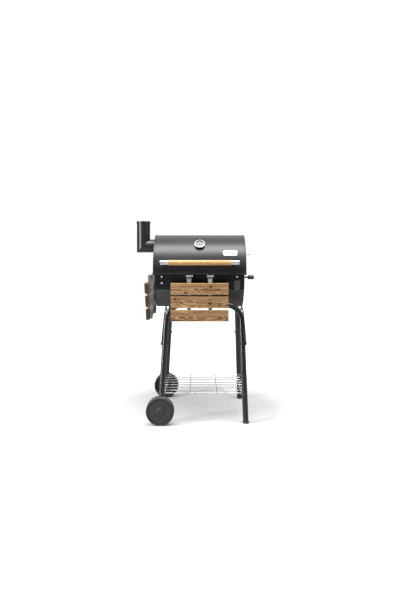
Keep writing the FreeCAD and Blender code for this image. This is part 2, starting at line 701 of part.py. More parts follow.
def wheel_bolts():
    """Shoulder bolts that carry the wheels on the left legs, each with a nut behind the leg."""
    bolts = []
    nuts = []
    for end, sign in zip(FRONT_NAMES, (-1, 1)):
        name = end + "_wheel_bolt"
        turn = Rotation(Vector(1, 0, 0), -90 * sign)
        shoulder = "wheel_width - wheel_dish + wheel_gap - axle_radius*tan(leg_tilt)"
        grip = "2*leg_face + 4*axle_thread*tan(leg_tilt) + nut_height + 5"
        pieces = [
            drum(name + "_shoulder", "axle_radius", shoulder, (0, 0, "-(%s)" % shoulder)),
            drum(name + "_head", "axle_head", "wheel_dish - 1.5", (0, 0, "seat_gap")),
            drum(name + "_neck", "axle_radius", "2*seat_gap", (0, 0, "-seat_gap")),
            drum(name + "_thread", "axle_thread", grip, (0, 0, "-(%s) - (%s)" % (shoulder, grip))),
        ]
        face = "%d*(wheel_y + wheel_width - wheel_dish)" % sign
        bolts.append(place(fuse(name, pieces), ("axle_x", face, "wheel_radius"), turn))
        inner = "%d*(axle_y - leg_face - 2*axle_thread*tan(leg_tilt))" % sign
        ring = hexagon(name + "_nut_body", "2*axle_thread", "nut_height + 2", (0, 0, "-nut_height - 2"))
        hole = drum(name + "_nut_bore", "axle_thread + 0.02", "3*nut_height", (0, 0, "-2*nut_height"))
        nuts.append(place(cut(name + "_nut", ring, [hole]), ("axle_x", inner, "wheel_radius"), turn))
    subpart(group("wheel_bolts", bolts), "wheel_bolts")
    subpart(group("wheel_nuts", nuts), "wheel_nuts")


# ---- lower barrel ------------------------------------------------------------------------

def shell_profile(body, name, inner, outer, length):
    sketch = new_sketch(body, name, "XZ_Plane")
    rectangle(sketch, "-(%s)/2" % length, "-(%s)" % outer, "(%s)/2" % length, "-(%s)" % inner)
    return sketch


def air_drill(name):
    angle = "asin((bolt_low + air_drop)/body_radius)"
    at, turn = on_barrel("body_radius", "-%s" % angle, "barrel_x + bolt_x")
    hole = drum(name + "_raw", "air_hole", "20*sheet_wall", (0, 0, "-10*sheet_wall"))
    return place(group(name, [hole]), at, turn)


def bolt_spots():
    """Where bolts go through the lower barrel: along X, below the axis, front or rear."""
    spots = []
    for sign in (-1, 1):
        for way in (-1, 1):
            for drop in ("bolt_high", "bolt_low"):
                spots.append(("barrel_x + %d*bolt_x" % way, drop, sign,
                              sign == -1 and way == 1 and drop == "bolt_low"))
    return spots


def radial_place(thing, across, drop, sign):
    """Put a thing on the lower barrel's front or rear with its local +Z pointing outwards."""
    angle = "asin(%s/body_radius)" % drop
    at = (across, "%d*body_radius*cos(%s)" % (sign, angle), "axis_z - %s" % drop)
    return place(thing, at, Rotation(Vector(1, 0, 0), -sign * (90 + number(angle))))


def bolt_drills(name):
    drills = []
    for index, (across, drop, sign, pivot) in enumerate(bolt_spots()):
        raw = drum("%s_drill_%d_raw" % (name, index), "frame_bolt + bolt_gap", "20*sheet_wall",
                   (0, 0, "-10*sheet_wall"))
        drills.append(radial_place(group("%s_drill_%d" % (name, index), [raw]), across, drop, sign))
    return drills


def lower_barrel():
    body = new_body("body_shell_sheet", ("barrel_x", 0, "axis_z"))
    revolve(body, shell_profile(body, "body_profile", "inner_radius", "body_radius", "body_length"),
            "H_Axis", 180)
    subpart(cut("body_shell", body, bolt_drills("body_shell") + [air_drill("body_air_hole")]),
            "body_shell")
    belly = new_body("belly_shell_sheet", ("barrel_x", 0, "axis_z"))
    profile = shell_profile(belly, "belly_profile", "body_radius + seat_gap", "belly_outer",
                            "body_length - 2*belly_inset")
    revolve(belly, profile, "H_Axis", "belly_sweep")
    subpart(belly, "belly_shell")


def lift_slot(name, left, length):
    """The upright slot that a lift rod travels in."""
    radius = "(lift_rod + lift_slot_gap)"
    high = drum(name + "_high", radius, length, (left, 0, "tray_z"), ALONG_X)
    low = drum(name + "_low", radius, length, (left, 0, "tray_z - lift_travel"), ALONG_X)
    run = block(name + "_run", [length, "2*%s" % radius, "lift_travel"],
                (left, "-%s" % radius, "tray_z - lift_travel"))
    return fuse(name, [high, low, run])


def barrel_end(side, left):
    """An end plate of the lower barrel with the lift rod's slot."""
    name = "body_end_" + side
    disc = drum(name + "_disc", "inner_radius - seat_gap", "sheet_wall", (left, 0, "axis_z"), ALONG_X)
    above = block(name + "_above", ["9*sheet_wall", "3*body_radius", "2*body_radius"],
                  ("%s - 3*sheet_wall" % left, "-1.5*body_radius", "axis_z"))
    slot = lift_slot(name + "_slot", "%s - 3*sheet_wall" % left, "9*sheet_wall")
    subpart(cut(name, disc, [above, slot]), name)


def lift_guides():
    """Guide plates round the slots, on the outside of the end plates."""
    plates = []
    for side, left in (("left", "body_left - guide_wall"), ("right", "body_right")):
        name = "lift_guide_" + side
        height = "lift_travel + guide_width"
        plate = block(name + "_plate", ["guide_wall", "guide_width", height],
                      (left, "-guide_width/2", "tray_z - lift_travel - guide_width/2 - 4"))
        slot = lift_slot(name + "_slot", "%s - guide_wall" % left, "3*guide_wall")
        plates.append(cut(name, plate, [slot]))
    subpart(group("lift_guides", plates), "lift_guides")


def grate_rests():
    """Ledges inside the front and rear walls, on lugs that follow the sheet."""
    rests = []
    drills = bolt_drills("grate_rests")
    for end, sign in zip(FRONT_NAMES, (-1, 1)):
        name = end + "_grate_rest"
        shell = barrel_shell(name + "_shell", "inner_radius - seat_gap - sheet_wall",
                             "inner_radius - seat_gap",
                             "body_length", "body_left")
        near = "-2*body_radius" if sign < 0 else "0"
        lugs = [block("%s_lug_%d" % (name, index), [24, "2*body_radius", "bolt_low - rest_z + 10"],
                      ("barrel_x + %d*bolt_x - 12" % way, near, "axis_z - bolt_low - 10"))
                for index, way in enumerate((-1, 1))]
        strip = block(name + "_strip", ["2*bolt_x + 24", "2*body_radius", 14],
                      ("barrel_x - bolt_x - 12", near, "axis_z - rest_z - 14"))
        upright = common(name + "_upright", [shell, fuse(name + "_parts", lugs + [strip])])
        inside = "sqrt((inner_radius - seat_gap - sheet_wall/2)^2 - rest_z^2)"
        start = "%d*%s%s" % (sign, inside, " - rest_ledge" if sign > 0 else "")
        ledge = block(name + "_ledge", ["2*bolt_x + 24", "rest_ledge", "sheet_wall"],
                      ("barrel_x - bolt_x - 12", start, "axis_z - rest_z - sheet_wall"))
        rests.append(cut(name, fuse(name + "_whole", [upright, ledge]),
                         [drills[index] for index in range(8)
                                                                         if (index < 4) == (sign < 0)]))
    subpart(group("grate_rests", rests), "grate_rests")


def body_bolts():
    """Dome-headed bolts of the grate rests; one of them is the air damper's pivot."""
    bolts = []
    for index, (across, drop, sign, pivot) in enumerate(bolt_spots()):
        lift = "damper_wall + 2*seat_gap" if pivot else "seat_gap"
        piece = bolt("body_bolt_%d" % index, "%s + 2*sheet_wall + 4*seat_gap" % lift, (0, 0, 0), UPRIGHT,
                     lift)
        bolts.append(radial_place(piece, across, drop, sign))
    subpart(group("body_bolts", bolts), "body_bolts")


def air_damper():
    """A flat plate that swings on its bolt over the air hole."""
    plate = slab("air_damper_plate", ["damper_width", "damper_above + damper_below - damper_width/2",
                                      "damper_wall"],
                 (0, "(damper_above - damper_below + damper_width/2)/2", "damper_wall/2 + seat_gap"))
    end = drum("air_damper_end", "damper_width/2", "damper_wall",
               (0, "damper_width/2 - damper_below", "seat_gap"))
    hole = drum("air_damper_hole", "frame_bolt + running_gap", "9*damper_wall", (0, 0, "-3*damper_wall"))
    damper = cut("air_damper", fuse("air_damper_whole", [plate, end]), [hole])
    angle = "asin(bolt_low/body_radius)"
    at = ("barrel_x + bolt_x", "-body_radius*cos(%s)" % angle, "axis_z - bolt_low")
    place(damper, at, Rotation(Vector(1, 0, 0), 90 + number(angle)))
    subpart(damper, "air_damper")


# ---- grates and lift ---------------------------------------------------------------------

def cooking_grate(side, left, right):
    """A wire grate: a frame of four wires with bars across it."""
    name = "cooking_grate_" + side
    low = "axis_z - rest_z + grate_wire"
    high = "axis_z - rest_z + 2.2*grate_wire"
    wires = []
    for sign in (-1, 1):
        y = "%d*(grate_half - rest_ledge/2)" % sign
        wires.append(wire_x("%s_rail_%d" % (name, sign + 1), "grate_wire", left, right, y, low))
    wires.append(wire_x(name + "_rail_1", "grate_wire", left, right, 0, low))
    for index in range(int(number("grate_bars"))):
        x = "(%s) + grate_wire + %d*((%s) - (%s) - 2*grate_wire)/(grate_bars - 1)" % (left, index, right,
                                                                                      left)
        wires.append(wire_y("%s_bar_%d" % (name, index), "grate_wire", "-grate_half", "grate_half", x,
                            high))
    subpart(fuse(name, wires), name)


def cooking_grates():
    gap = "sheet_wall + grate_side_gap"
    cooking_grate("left", "body_left + %s" % gap, "barrel_x - grate_side_gap/2")
    cooking_grate("right", "barrel_x + grate_side_gap/2", "body_right - (%s)" % gap)


def charcoal_grate():
    """A slotted sheet with upturned ends, which the lift rods carry."""
    body = new_body("charcoal_grate", ("barrel_x", 0, "tray_z - 1.8*lift_rod - tray_wall"))
    plate = new_sketch(body, "tray_plate", "XY_Plane")
    rectangle(plate, "-tray_length/2", "-tray_width/2", "tray_length/2", "tray_width/2")
    pad(body, plate, "tray_wall")
    for side, way in zip(SIDE_NAMES, (-1, 1)):
        end = new_sketch(body, "tray_end_" + side, "XY_Plane")
        edges = sorted(("%d*tray_length/2" % way, "%d*(tray_length/2 - tray_wall)" % way), key=number)
        rectangle(end, edges[0], "-tray_width/2", edges[1], "tray_width/2")
        pad(body, end, "tray_wall + tray_rim")
    doc.recompute()
    slots = new_sketch(body, "tray_slots", "XY_Plane")
    first = "-(slot_count - 1)*slot_pitch/2"
    for sign in (-1, 1):
        middle = "%d*tray_width/4" % sign
        rectangle(slots, "%s - slot_width/2" % first, "%s - slot_length/2" % middle,
                  "%s + slot_width/2" % first, "%s + slot_length/2" % middle)
    hole = pocket(body, slots, "4*tray_wall")
    doc.recompute()
    row = body.newObject("PartDesign::LinearPattern", "tray_slot_row")
    row.Originals = [hole]
    row.Direction = (slots, ["H_Axis"])
    bind(row, Length="(slot_count - 1)*slot_pitch", Occurrences="slot_count")
    body.Tip = row
    seats = new_sketch(body, "tray_rod_holes", "YZ_Plane")
    circle(seats, 0, "tray_wall + 1.8*lift_rod", "lift_rod + bolt_gap")
    pocket(body, seats, "2*tray_length")
    subpart(body, "charcoal_grate")


def lift_rods():
    """Rods through the end plates, headed inside the charcoal grate, with a knob outside."""
    rods = []
    knobs = []
    for side, way in zip(SIDE_NAMES, (-1, 1)):
        reach = "%s_rod_reach" % side
        length = "knob_length" if side == "right" else "left_knob_length"
        inner = "tray_length/2 - 2*tray_wall"
        outer = "body_length/2 + %s" % reach
        knob_in = "(%s - %s)" % (outer, length)
        name = "lift_rod_" + side
        turn = Rotation(Vector(0, 1, 0), 90 * way)
        at = ("barrel_x", 0, "tray_z")
        rod = drum(name + "_rod", "lift_rod", "%s + 6 - (%s)" % (knob_in, inner), (0, 0, inner))
        head = drum(name + "_head", "1.6*lift_rod", "tray_wall - seat_gap", (0, 0, inner))
        tray_hole = drum(name + "_collar", "1.6*lift_rod", "tray_wall",
                         (0, 0, "tray_length/2 + seat_gap"))
        rods.append(place(fuse(name, [rod, head, tray_hole]), at, turn))
        grip = drum(name + "_grip", "knob_radius", length, (0, 0, knob_in))
        waist = doc.addObject("Part::Torus", name + "_waist")
        bind(waist, Radius1="knob_radius + 2.5", Radius2="4.5")
        place(waist, (0, 0, "%s + 2" % knob_in))
        bore = drum(name + "_socket", "lift_rod + 0.1", 6.2, (0, 0, knob_in))
        knobs.append(place(cut(name + "_knob", grip, [waist, bore]), at, turn))
    subpart(group("lift_rods", rods), "lift_rods")
    subpart(group("lift_knobs", knobs), "lift_knobs")


# ---- lid ---------------------------------------------------------------------------------

def lid_drill(name, angle, across, radius):
    """A drill through the lid's front at an angle above the axis."""
    raw = drum(name + "_raw", radius, "30*sheet_wall", (0, 0, "-15*sheet_wall"))
    at, turn = on_barrel("lid_radius", angle, across)
    return place(group(name, [raw]), at, turn)


def lid_shell():
    """The half barrel with a rolled bead at each end."""
    body = new_body("lid_shell_sheet", ("barrel_x", 0, "axis_z"))
    sketch = new_sketch(body, "lid_profile", "XZ_Plane")
    half = "lid_length/2"
    slope = "bead_height"
    crown = "lid_radius + bead_height"
    outline(sketch, [
        ("-%s" % half, "lid_radius - sheet_wall"), (half, "lid_radius - sheet_wall"),
        (half, "lid_radius"),
        ("%s - %s" % (half, slope), crown), ("%s - bead_width" % half, crown),
        ("%s - bead_width - %s" % (half, slope), "lid_radius"),
        ("-(%s - bead_width - %s)" % (half, slope), "lid_radius"),
        ("-(%s - bead_width)" % half, crown), ("-(%s - %s)" % (half, slope), crown),
        ("-%s" % half, "lid_radius")])
    revolve(body, sketch, "H_Axis", "lid_sweep")
    drills = [lid_drill("probe_drill", "dial_angle", "barrel_x", "stem_radius + bolt_gap")]
    for side, way in zip(SIDE_NAMES, (-1, 1)):
        drills.append(drum("standoff_drill_" + side, "frame_bolt + bolt_gap", "lid_radius",
                           (ferrule_x(way), "-1.5*lid_radius", "axis_z + handle_z"), ALONG_Y))
    subpart(cut("lid_shell", body, drills), "lid_shell")


def lid_end(side, left, tools):
    """A D-shaped end plate inside the lid's sheet."""
    name = "lid_end_" + side
    disc = drum(name + "_disc", "lid_radius - sheet_wall - seat_gap", "sheet_wall", (left, 0, "axis_z"),
                ALONG_X)
    below = block(name + "_below", ["9*sheet_wall", "3*lid_radius", "2*lid_radius"],
                  ("%s - 3*sheet_wall" % left, "-1.5*lid_radius", "axis_z - lid_drop - 2*lid_radius"))
    rod = drum(name + "_rod_hole", "warm_rod + running_gap", "9*sheet_wall",
               ("%s - 3*sheet_wall" % left, 0, "axis_z + warm_z"), ALONG_X)
    subpart(cut(name, disc, [below, rod] + tools), name)


def lid_ends():
    smoke = drum("smoke_hole", "chimney_radius - chimney_wall", "20*sheet_wall",
                 ("lid_left - 5*sheet_wall", 0, "axis_z + chimney_z"), ALONG_X)
    lid_end("left", "lid_left", [smoke])
    lid_end("right", "lid_right - sheet_wall", [])


def chimney():
    """A mitred pipe from the lid's left end, its flange, top band and swivel cap."""
    body = new_body("chimney_pipe", ("lid_left", 0, "axis_z + chimney_z"))
    path = new_sketch(body, "chimney_path", "XZ_Plane")
    corner = Vector(-number("chimney_reach"), 0, 0)
    top = corner + Vector(0, number("chimney_rise"), 0)
    path.addGeometry(Part.LineSegment(Vector(0, 0, 0), corner), False)
    path.addGeometry(Part.LineSegment(corner, top), False)
    path.addConstraint(Sketcher.Constraint("Coincident", 0, 1, -1, 1))
    path.addConstraint(Sketcher.Constraint("Coincident", 0, 2, 1, 1))
    path.addConstraint(Sketcher.Constraint("Horizontal", 0))
    path.addConstraint(Sketcher.Constraint("Vertical", 1))
    hold(path, "DistanceX", 0, 2, "-chimney_reach")
    hold(path, "DistanceY", 1, 2, "chimney_rise")
    ring = new_sketch(body, "chimney_ring", "YZ_Plane")
    circle(ring, 0, 0, "chimney_radius")
    circle(ring, 0, 0, "chimney_radius - chimney_wall")
    sweep = body.newObject("PartDesign::AdditivePipe", "chimney_sweep")
    sweep.Profile = ring
    sweep.Spine = (path, ["Edge1", "Edge2"])
    sweep.Transition = "Right corner"
    subpart(body, "chimney_pipe")
    flange = pipe_between("chimney_flange", "flange_radius", "chimney_radius + 0.2", "flange_wall",
                          ("lid_left - flange_wall", 0, "axis_z + chimney_z"), ALONG_X)
    subpart(flange, "chimney_flange")


def chimney_cap():
    """A band with a lug round the chimney's top, and the cap that swings on its screw."""
    low = "chimney_top - band_height"
    ring_out = "chimney_radius + seat_gap + band_wall"
    outer = drum("band_outer", ring_out, "band_height", ("upright_x", 0, low))
    lug = drum("band_lug", "3*cap_screw", "band_height", ("upright_x", "cap_pivot", low))
    bore = drum("band_bore", "chimney_radius + seat_gap/2", "2*band_height",
                ("upright_x", 0, low + " - 1"))
    hole = drum("band_hole", "cap_screw + bolt_gap", "2*band_height",
                ("upright_x", "cap_pivot", low + " - 1"))
    subpart(cut("chimney_band", fuse("band_whole", [outer, lug]), [bore, hole]), "chimney_band")
    bottom = "chimney_top + seat_gap"
    disc = drum("cap_disc", "chimney_radius + 1", "cap_wall", ("upright_x", 0, bottom))
    ear = drum("cap_ear", "3*cap_screw", "cap_wall", ("upright_x", "cap_pivot", bottom))
    tab = slab("cap_tab", [14, 14, "cap_wall"],
               ("upright_x", "-chimney_radius", bottom + " + cap_wall/2"))
    seat = drum("cap_hole", "cap_screw + running_gap", "4*cap_wall",
                ("upright_x", "cap_pivot", bottom + " - cap_wall"))
    subpart(cut("chimney_cap", fuse("cap_whole", [disc, ear, tab]), [seat]), "chimney_cap")
    screw_low = low + " - 3"
    shank = drum("cap_screw_shank", "cap_screw", "band_height + seat_gap + cap_wall + 4",
                 ("upright_x", "cap_pivot", screw_low))
    head = dome("cap_screw_head", "1.9*cap_screw", "cap_screw",
                ("upright_x", "cap_pivot", bottom + " + cap_wall + seat_gap"))
    nut = hexagon("cap_screw_nut", "2*cap_screw", 2.6, ("upright_x", "cap_pivot", low + " - 2.9"))
    subpart(fuse("chimney_cap_screw", [shank, head, nut]), "chimney_cap_screw")


def ferrule_x(way):
    return "barrel_x + %d*(grip_length/2 + ferrule_length/2)" % way


def lid_handle():
    """A turned wooden grip held between two ferrules on posts."""
    z = "axis_z + handle_z"
    body = new_body("handle_grip", ("barrel_x", "-handle_y", z))
    sketch = new_sketch(body, "grip_profile", "XZ_Plane")
    end = "grip_length/2"
    outline(sketch, [("-(%s)" % end, 0), (end, 0), (end, "grip_radius - 1.5"),
                     ("%s - 2" % end, "grip_radius"),
                     ("-(%s - 2)" % end, "grip_radius"), ("-(%s)" % end, "grip_radius - 1.5")])
    revolve(body, sketch, "H_Axis")
    subpart(body, "handle_grip")
    ferrules = []
    posts = []
    for side, way in zip(SIDE_NAMES, (-1, 1)):
        left = "barrel_x + grip_length/2" if way > 0 else "barrel_x - grip_length/2 - ferrule_length"
        tube = drum("ferrule_%s_tube" % side, "ferrule_radius", "ferrule_length", (left, "-handle_y", z),
                    ALONG_X)
        socket = drum("ferrule_%s_socket" % side, "standoff_radius + 0.1", "handle_y",
                      (ferrule_x(way), "-handle_y", z), ALONG_Y)
        ferrules.append(cut("ferrule_" + side, tube, [socket]))
        rod = drum("standoff_%s_rod" % side, "standoff_radius", "handle_y - 0.9*lid_radius",
                   (ferrule_x(way), "-handle_y", z), ALONG_Y)
        lid = drum("standoff_%s_lid" % side, "lid_radius + seat_gap", "lid_length",
                   ("lid_left", 0, "axis_z"), ALONG_X)
        post = cut("standoff_%s_post" % side, rod, [lid])
        bolt_end = "sqrt((lid_radius - sheet_wall - seat_gap)^2 - (handle_z + bolt_head)^2) - nut_height + 1"
        stud = drum("standoff_%s_stud" % side, "frame_bolt", "handle_y - (%s)" % bolt_end,
                    (ferrule_x(way), "-handle_y", z), ALONG_Y)
        nut = hexagon("standoff_%s_nut" % side, "bolt_head", "nut_height - 1",
                      (ferrule_x(way), "-(%s)" % bolt_end + " - nut_height + 1", z), ALONG_Y)
        posts.append(fuse("standoff_" + side, [post, stud, nut]))
    subpart(group("handle_ferrules", ferrules), "handle_ferrules")
    subpart(group("handle_standoffs", posts), "handle_standoffs")


def thermometer():
    """A round case on the lid with a probe, dial, needle and lens; local +Z faces outwards."""
    at, turn = on_barrel("lid_radius", "dial_angle", "barrel_x")
    inner = "(dial_radius - case_wall)"
    back = "(seat_gap + dial_depth/2)"
    front = "(seat_gap + dial_depth)"
    outer = drum("case_outer", "dial_radius", "dial_depth", (0, 0, "seat_gap"))
    hollow = drum("case_hollow", inner, "dial_depth", (0, 0, back))
    cup = cut("case_cup", outer, [hollow])
    stem = drum("case_stem", "stem_radius", "stem_length + sheet_wall + 2",
                (0, 0, "-stem_length - sheet_wall"))
    nut = hexagon("case_nut", "2.4*stem_radius", "nut_height",
                  (0, 0, "-sheet_wall - seat_gap - nut_height"))
    pin = drum("case_pin", "needle_pin", "dial_depth/2 - 2.6", (0, 0, back))
    subpart(place(fuse("thermometer_case", [cup, stem, nut, pin]), at, turn), "thermometer_case")
    dial = drum("dial_disc", inner + " - 0.1", 0.8, (0, 0, back + " + 0.05"))
    dial_hole = drum("dial_hole", "needle_pin + 0.1", 9, (0, 0, 0))
    subpart(place(cut("thermometer_dial", dial, [dial_hole]), at, turn), "thermometer_dial")
    lens = drum("lens_disc", inner + " - 0.1", 1.4, (0, 0, front + " - 2"))
    subpart(place(group("thermometer_lens", [lens]), at, turn), "thermometer_lens")
    height = back + " + 1.6"
    hub = drum("needle_hub", 2.6, 1, (0, 0, height))
    blade = block("needle_blade", [1.6, "dial_radius - 8", 1], (-0.8, 0, height))
    tail = block("needle_tail", [2.4, 7, 1], (-1.2, -7, height))
    seat = drum("needle_seat", "needle_pin + running_gap", 9, (0, 0, height + " - 2"))
    needle = cut("thermometer_needle", fuse("needle_whole", [hub, blade, tail]), [seat])
    subpart(place(needle, at, turn * Rotation(Vector(0, 0, 1), 135)), "thermometer_needle")


def badge():
    """A blank round-cornered plate that follows the lid."""
    long = slab("badge_long", ["badge_length", "badge_height - 2*badge_corner", 60], (0, 0, 0))
    tall = slab("badge_tall", ["badge_length - 2*badge_corner", "badge_height", 60], (0, 0, 0))
    corners = []
    for index, (way, sign) in enumerate(((-1, -1), (1, -1), (1, 1), (-1, 1))):
        corners.append(drum("badge_corner_%d" % index, "badge_corner", 60,
                            ("%d*(badge_length/2 - badge_corner)" % way,
                             "%d*(badge_height/2 - badge_corner)" % sign, -30)))
    at, turn = on_barrel("lid_radius", "badge_angle", "barrel_x + badge_x")
    blank = place(fuse("badge_blank", [long, tall] + corners), at, turn)
    skin = barrel_shell("badge_skin", "lid_radius + seat_gap/2", "lid_radius + seat_gap/2 + badge_wall",
                        "lid_length", "lid_left")
    subpart(common("badge_plate", [blank, skin]), "badge_plate")


def warming_rack():
    """A wire shelf that hangs from a rod through both ends of the lid."""
    z = "axis_z + warm_z"
    tray = "%s - warm_drop" % z
    left = "barrel_x - warm_length/2"
    right = "barrel_x + warm_length/2"
    pieces = [wire_x("warm_rod", "warm_rod", "lid_left - 6", "lid_right + warm_reach", 0, z)]
    for index in range(int(number("warm_count"))):
        y = "-warm_half + %d*2*warm_half/(warm_count - 1)" % index
        pieces.append(wire_x("warm_wire_%d" % index, "warm_rod", left, right, y, tray))
    for index, x in enumerate((left + " + 4", right + " - 4")):
        pieces.append(wire_y("warm_end_%d" % index, "warm_rod", "-warm_half", "warm_half", x,
                             tray + " + 1.6*warm_rod"))
        pieces.append(drum("warm_post_%d" % index, "warm_rod", "warm_drop - warm_rod",
                           (x, 0, tray + " + warm_rod")))
    subpart(fuse("warming_rack", pieces), "warming_rack")


def lid_hinges():
    """Two hinges at the rear: a leaf on the lid, a leaf on the lower barrel, and the pins."""
    lid_leaves = []
    body_leaves = []
    pins = []
    axis = "axis_z - lid_drop"
    for side, way in zip(SIDE_NAMES, (-1, 1)):
        x = "barrel_x + %d*lid_hinge_x" % way
        knuckle = "leaf_width/4"
        name = "lid_hinge_" + side
        hole = drum(name + "_hole", "lid_pin + running_gap", "2*leaf_width",
                    ("%s - leaf_width" % x, "lid_axis_y", axis), ALONG_X)
        skin = barrel_shell(name + "_lid_skin", "lid_radius + seat_gap",
                            "lid_radius + seat_gap + leaf_wall", "lid_length", "lid_left")
        zone = block(name + "_lid_zone", ["leaf_width", "lid_radius", "leaf_height"],
                     ("%s - leaf_width/2" % x, "lid_radius/2", "%s + knuckle_radius" % axis))
        arm = block(name + "_lid_arm", ["2*%s - 1" % knuckle, "lid_axis_y - lid_radius + 1", "leaf_wall"],
                    ("%s - %s + 0.5" % (x, knuckle), "lid_radius + leaf_wall/2",
                     "%s + knuckle_radius" % axis))
        web = block(name + "_lid_web", ["2*%s - 1" % knuckle, "leaf_wall", "knuckle_radius + leaf_wall"],
                    ("%s - %s + 0.5" % (x, knuckle), "lid_axis_y - leaf_wall/2", axis))
        barrel = drum(name + "_lid_knuckle", "knuckle_radius", "2*%s - 1" % knuckle,
                      ("%s - %s + 0.5" % (x, knuckle), "lid_axis_y", axis), ALONG_X)
        leaf = fuse(name + "_lid_whole", [common(name + "_lid_sheet", [skin, zone]), arm, web, barrel])
        lid_leaves.append(cut(name + "_lid_leaf", leaf, [hole]))
        low_skin = barrel_shell(name + "_body_skin", "body_radius + seat_gap",
                                "body_radius + seat_gap + leaf_wall", "body_length", "body_left")
        low_zone = block(name + "_body_zone", ["leaf_width", "body_radius", "leaf_height"],
                         ("%s - leaf_width/2" % x, "body_radius/2",
                          "%s - knuckle_radius - leaf_height" % axis))
        pieces = [common(name + "_body_sheet", [low_skin, low_zone])]
        for index, start in enumerate(("%s - leaf_width/2" % x, "%s + %s" % (x, knuckle))):
            pieces.append(drum("%s_body_knuckle_%d" % (name, index), "knuckle_radius", knuckle,
                               (start, "lid_axis_y", axis), ALONG_X))
            pieces.append(block("%s_body_arm_%d" % (name, index),
                                [knuckle, "lid_axis_y - body_radius + 1", "leaf_wall"],
                                (start, "body_radius + leaf_wall/2 - 1",
                                 "%s - knuckle_radius - leaf_wall" % axis)))
            pieces.append(block("%s_body_web_%d" % (name, index),
                                [knuckle, "leaf_wall", "knuckle_radius + leaf_wall"],
                                (start, "lid_axis_y - leaf_wall/2",
                                 "%s - knuckle_radius - leaf_wall" % axis)))
        body_leaves.append(cut(name + "_body_leaf", fuse(name + "_body_whole", pieces), [hole]))
        shaft = drum(name + "_shaft", "lid_pin", "leaf_width + 2",
                     ("%s - leaf_width/2 - 1" % x, "lid_axis_y", axis), ALONG_X)
        head = drum(name + "_head", "1.5*lid_pin", 1.5,
                    ("%s - leaf_width/2 - 1.8" % x, "lid_axis_y", axis), ALONG_X)
        pins.append(fuse(name + "_pin", [shaft, head]))
    subpart(group("lid_hinge_leaves", lid_leaves), "lid_hinge_leaves")
    subpart(group("body_hinge_leaves", body_leaves), "body_hinge_leaves")
    subpart(group("lid_hinge_pins", pins), "lid_hinge_pins")


# ---- folding shelves ---------------------------------------------------------------------
# A shelf is drawn in its own frame: local X along its boards, local -Y outwards, the hinge
# pin's axis along local X through the origin, the shelf hanging down local -Z.

def shelf_arm(name, middle, at, turn):
    """A tapered channel of sheet, open on the barrel's side, with a round top at the pin."""
    body = new_body(name + "_channel", (0, 0, 0))
    side = new_sketch(body, name + "_side", "YZ_Plane")
    outline(side, [
        ("-board_seat", "-arm_length"), ("arm_tip - board_seat", "-arm_length"),
        ("arm_inner", "-arm_inner"),
        ("arm_inner", "arm_above - 5"), ("arm_inner - 5", "arm_above"), ("5 - board_seat", "arm_above"),
        ("-board_seat", "arm_above - 5")])
    pad(body, side, "arm_width", True)
    inside = new_sketch(body, name + "_inside", "YZ_Plane")
    rectangle(inside, "arm_sheet - board_seat", "-2*arm_length", "4*arm_inner", "4*arm_above")
    pocket(body, inside, "arm_width - 2*arm_sheet")
    notch = new_sketch(body, name + "_notch", "YZ_Plane")
    rectangle(notch, "-2*board_seat", -12, "4*arm_inner", "4*arm_above")
    pocket(body, notch, "arm_width - 2*arm_sheet")
    pin = new_sketch(body, name + "_pin", "YZ_Plane")
    circle(pin, 0, 0, "hinge_pin + running_gap")
    pocket(body, pin, "2*arm_width")
    place(body, (middle, 0, 0))
    holes = []
    for index in range(3):
        height = "-(board_start + board_width/2 + %d*board_pitch)" % index
        raw = drum("%s_screw_hole_%d" % (name, index), "screw_radius + bolt_gap", "4*arm_sheet",
                   (middle, "-board_seat - 2*arm_sheet", height), ALONG_Y)
        holes.append(raw)
    return place(cut(name, body, holes), at, turn)


def shelf_board(name, index, spacing, at, turn):
    """A planed board with eased edges and two screw holes from behind."""
    body = new_body(name + "_plank", (0, "-board_seat - board_wall",
                                      "-(board_start + %d*board_pitch)" % index))
    face = new_sketch(body, name + "_face", "XZ_Plane")
    rectangle(face, "-board_length/2", "-board_width", "board_length/2", 0)
    feature = pad(body, face, "board_wall")
    feature.Reversed = True
    doc.recompute()
    round_edges(body, feature, "board_round")
    holes = []
    for way in (-1, 1):
        holes.append(drum("%s_hole_%d" % (name, way + 1), "screw_radius + bolt_gap/2", "screw_depth + 2",
                          ("%d*%s/2" % (way, spacing), "-board_seat - screw_depth - 1",
                           "-(board_start + board_width/2 + %d*board_pitch)" % index), ALONG_Y))
    return place(cut(name, body, holes), at, turn)


def shelf_screws(name, spacing, at, turn):
    screws = []
    for way in (-1, 1):
        for index in range(3):
            middle = "%d*%s/2" % (way, spacing)
            height = "-(board_start + board_width/2 + %d*board_pitch)" % index
            tag = "%s_%d_%d" % (name, way + 1, index)
            shank = drum(tag + "_shank", "screw_radius", "screw_depth + arm_sheet + 1",
                         (middle, "-board_seat - screw_depth", height), ALONG_Y)
            head = drum(tag + "_head", "screw_head", 2, (middle, "-board_seat + arm_sheet", height),
                        ALONG_Y)
            screws.append(fuse(tag, [shank, head]))
    return place(group(name, screws), at, turn)


def hinge_bolt(name, middle, at, turn):
    """The pin through two ears and an arm, with a nut at its far end."""
    half = "arm_outer_width/2"
    shank = drum(name + "_shank", "hinge_pin", "arm_outer_width + 7",
                 ("%s - %s - 0.5" % (middle, half), 0, 0), ALONG_X)
    head = hexagon(name + "_head", "1.9*hinge_pin", 4, ("%s - %s - 0.1 - 4" % (middle, half), 0, 0),
                   ALONG_X)
    nut = hexagon(name + "_nut", "1.9*hinge_pin", 4.5, ("%s + %s + 0.1" % (middle, half), 0, 0), ALONG_X)
    return place(fuse(name, [shank, head, nut]), at, turn)


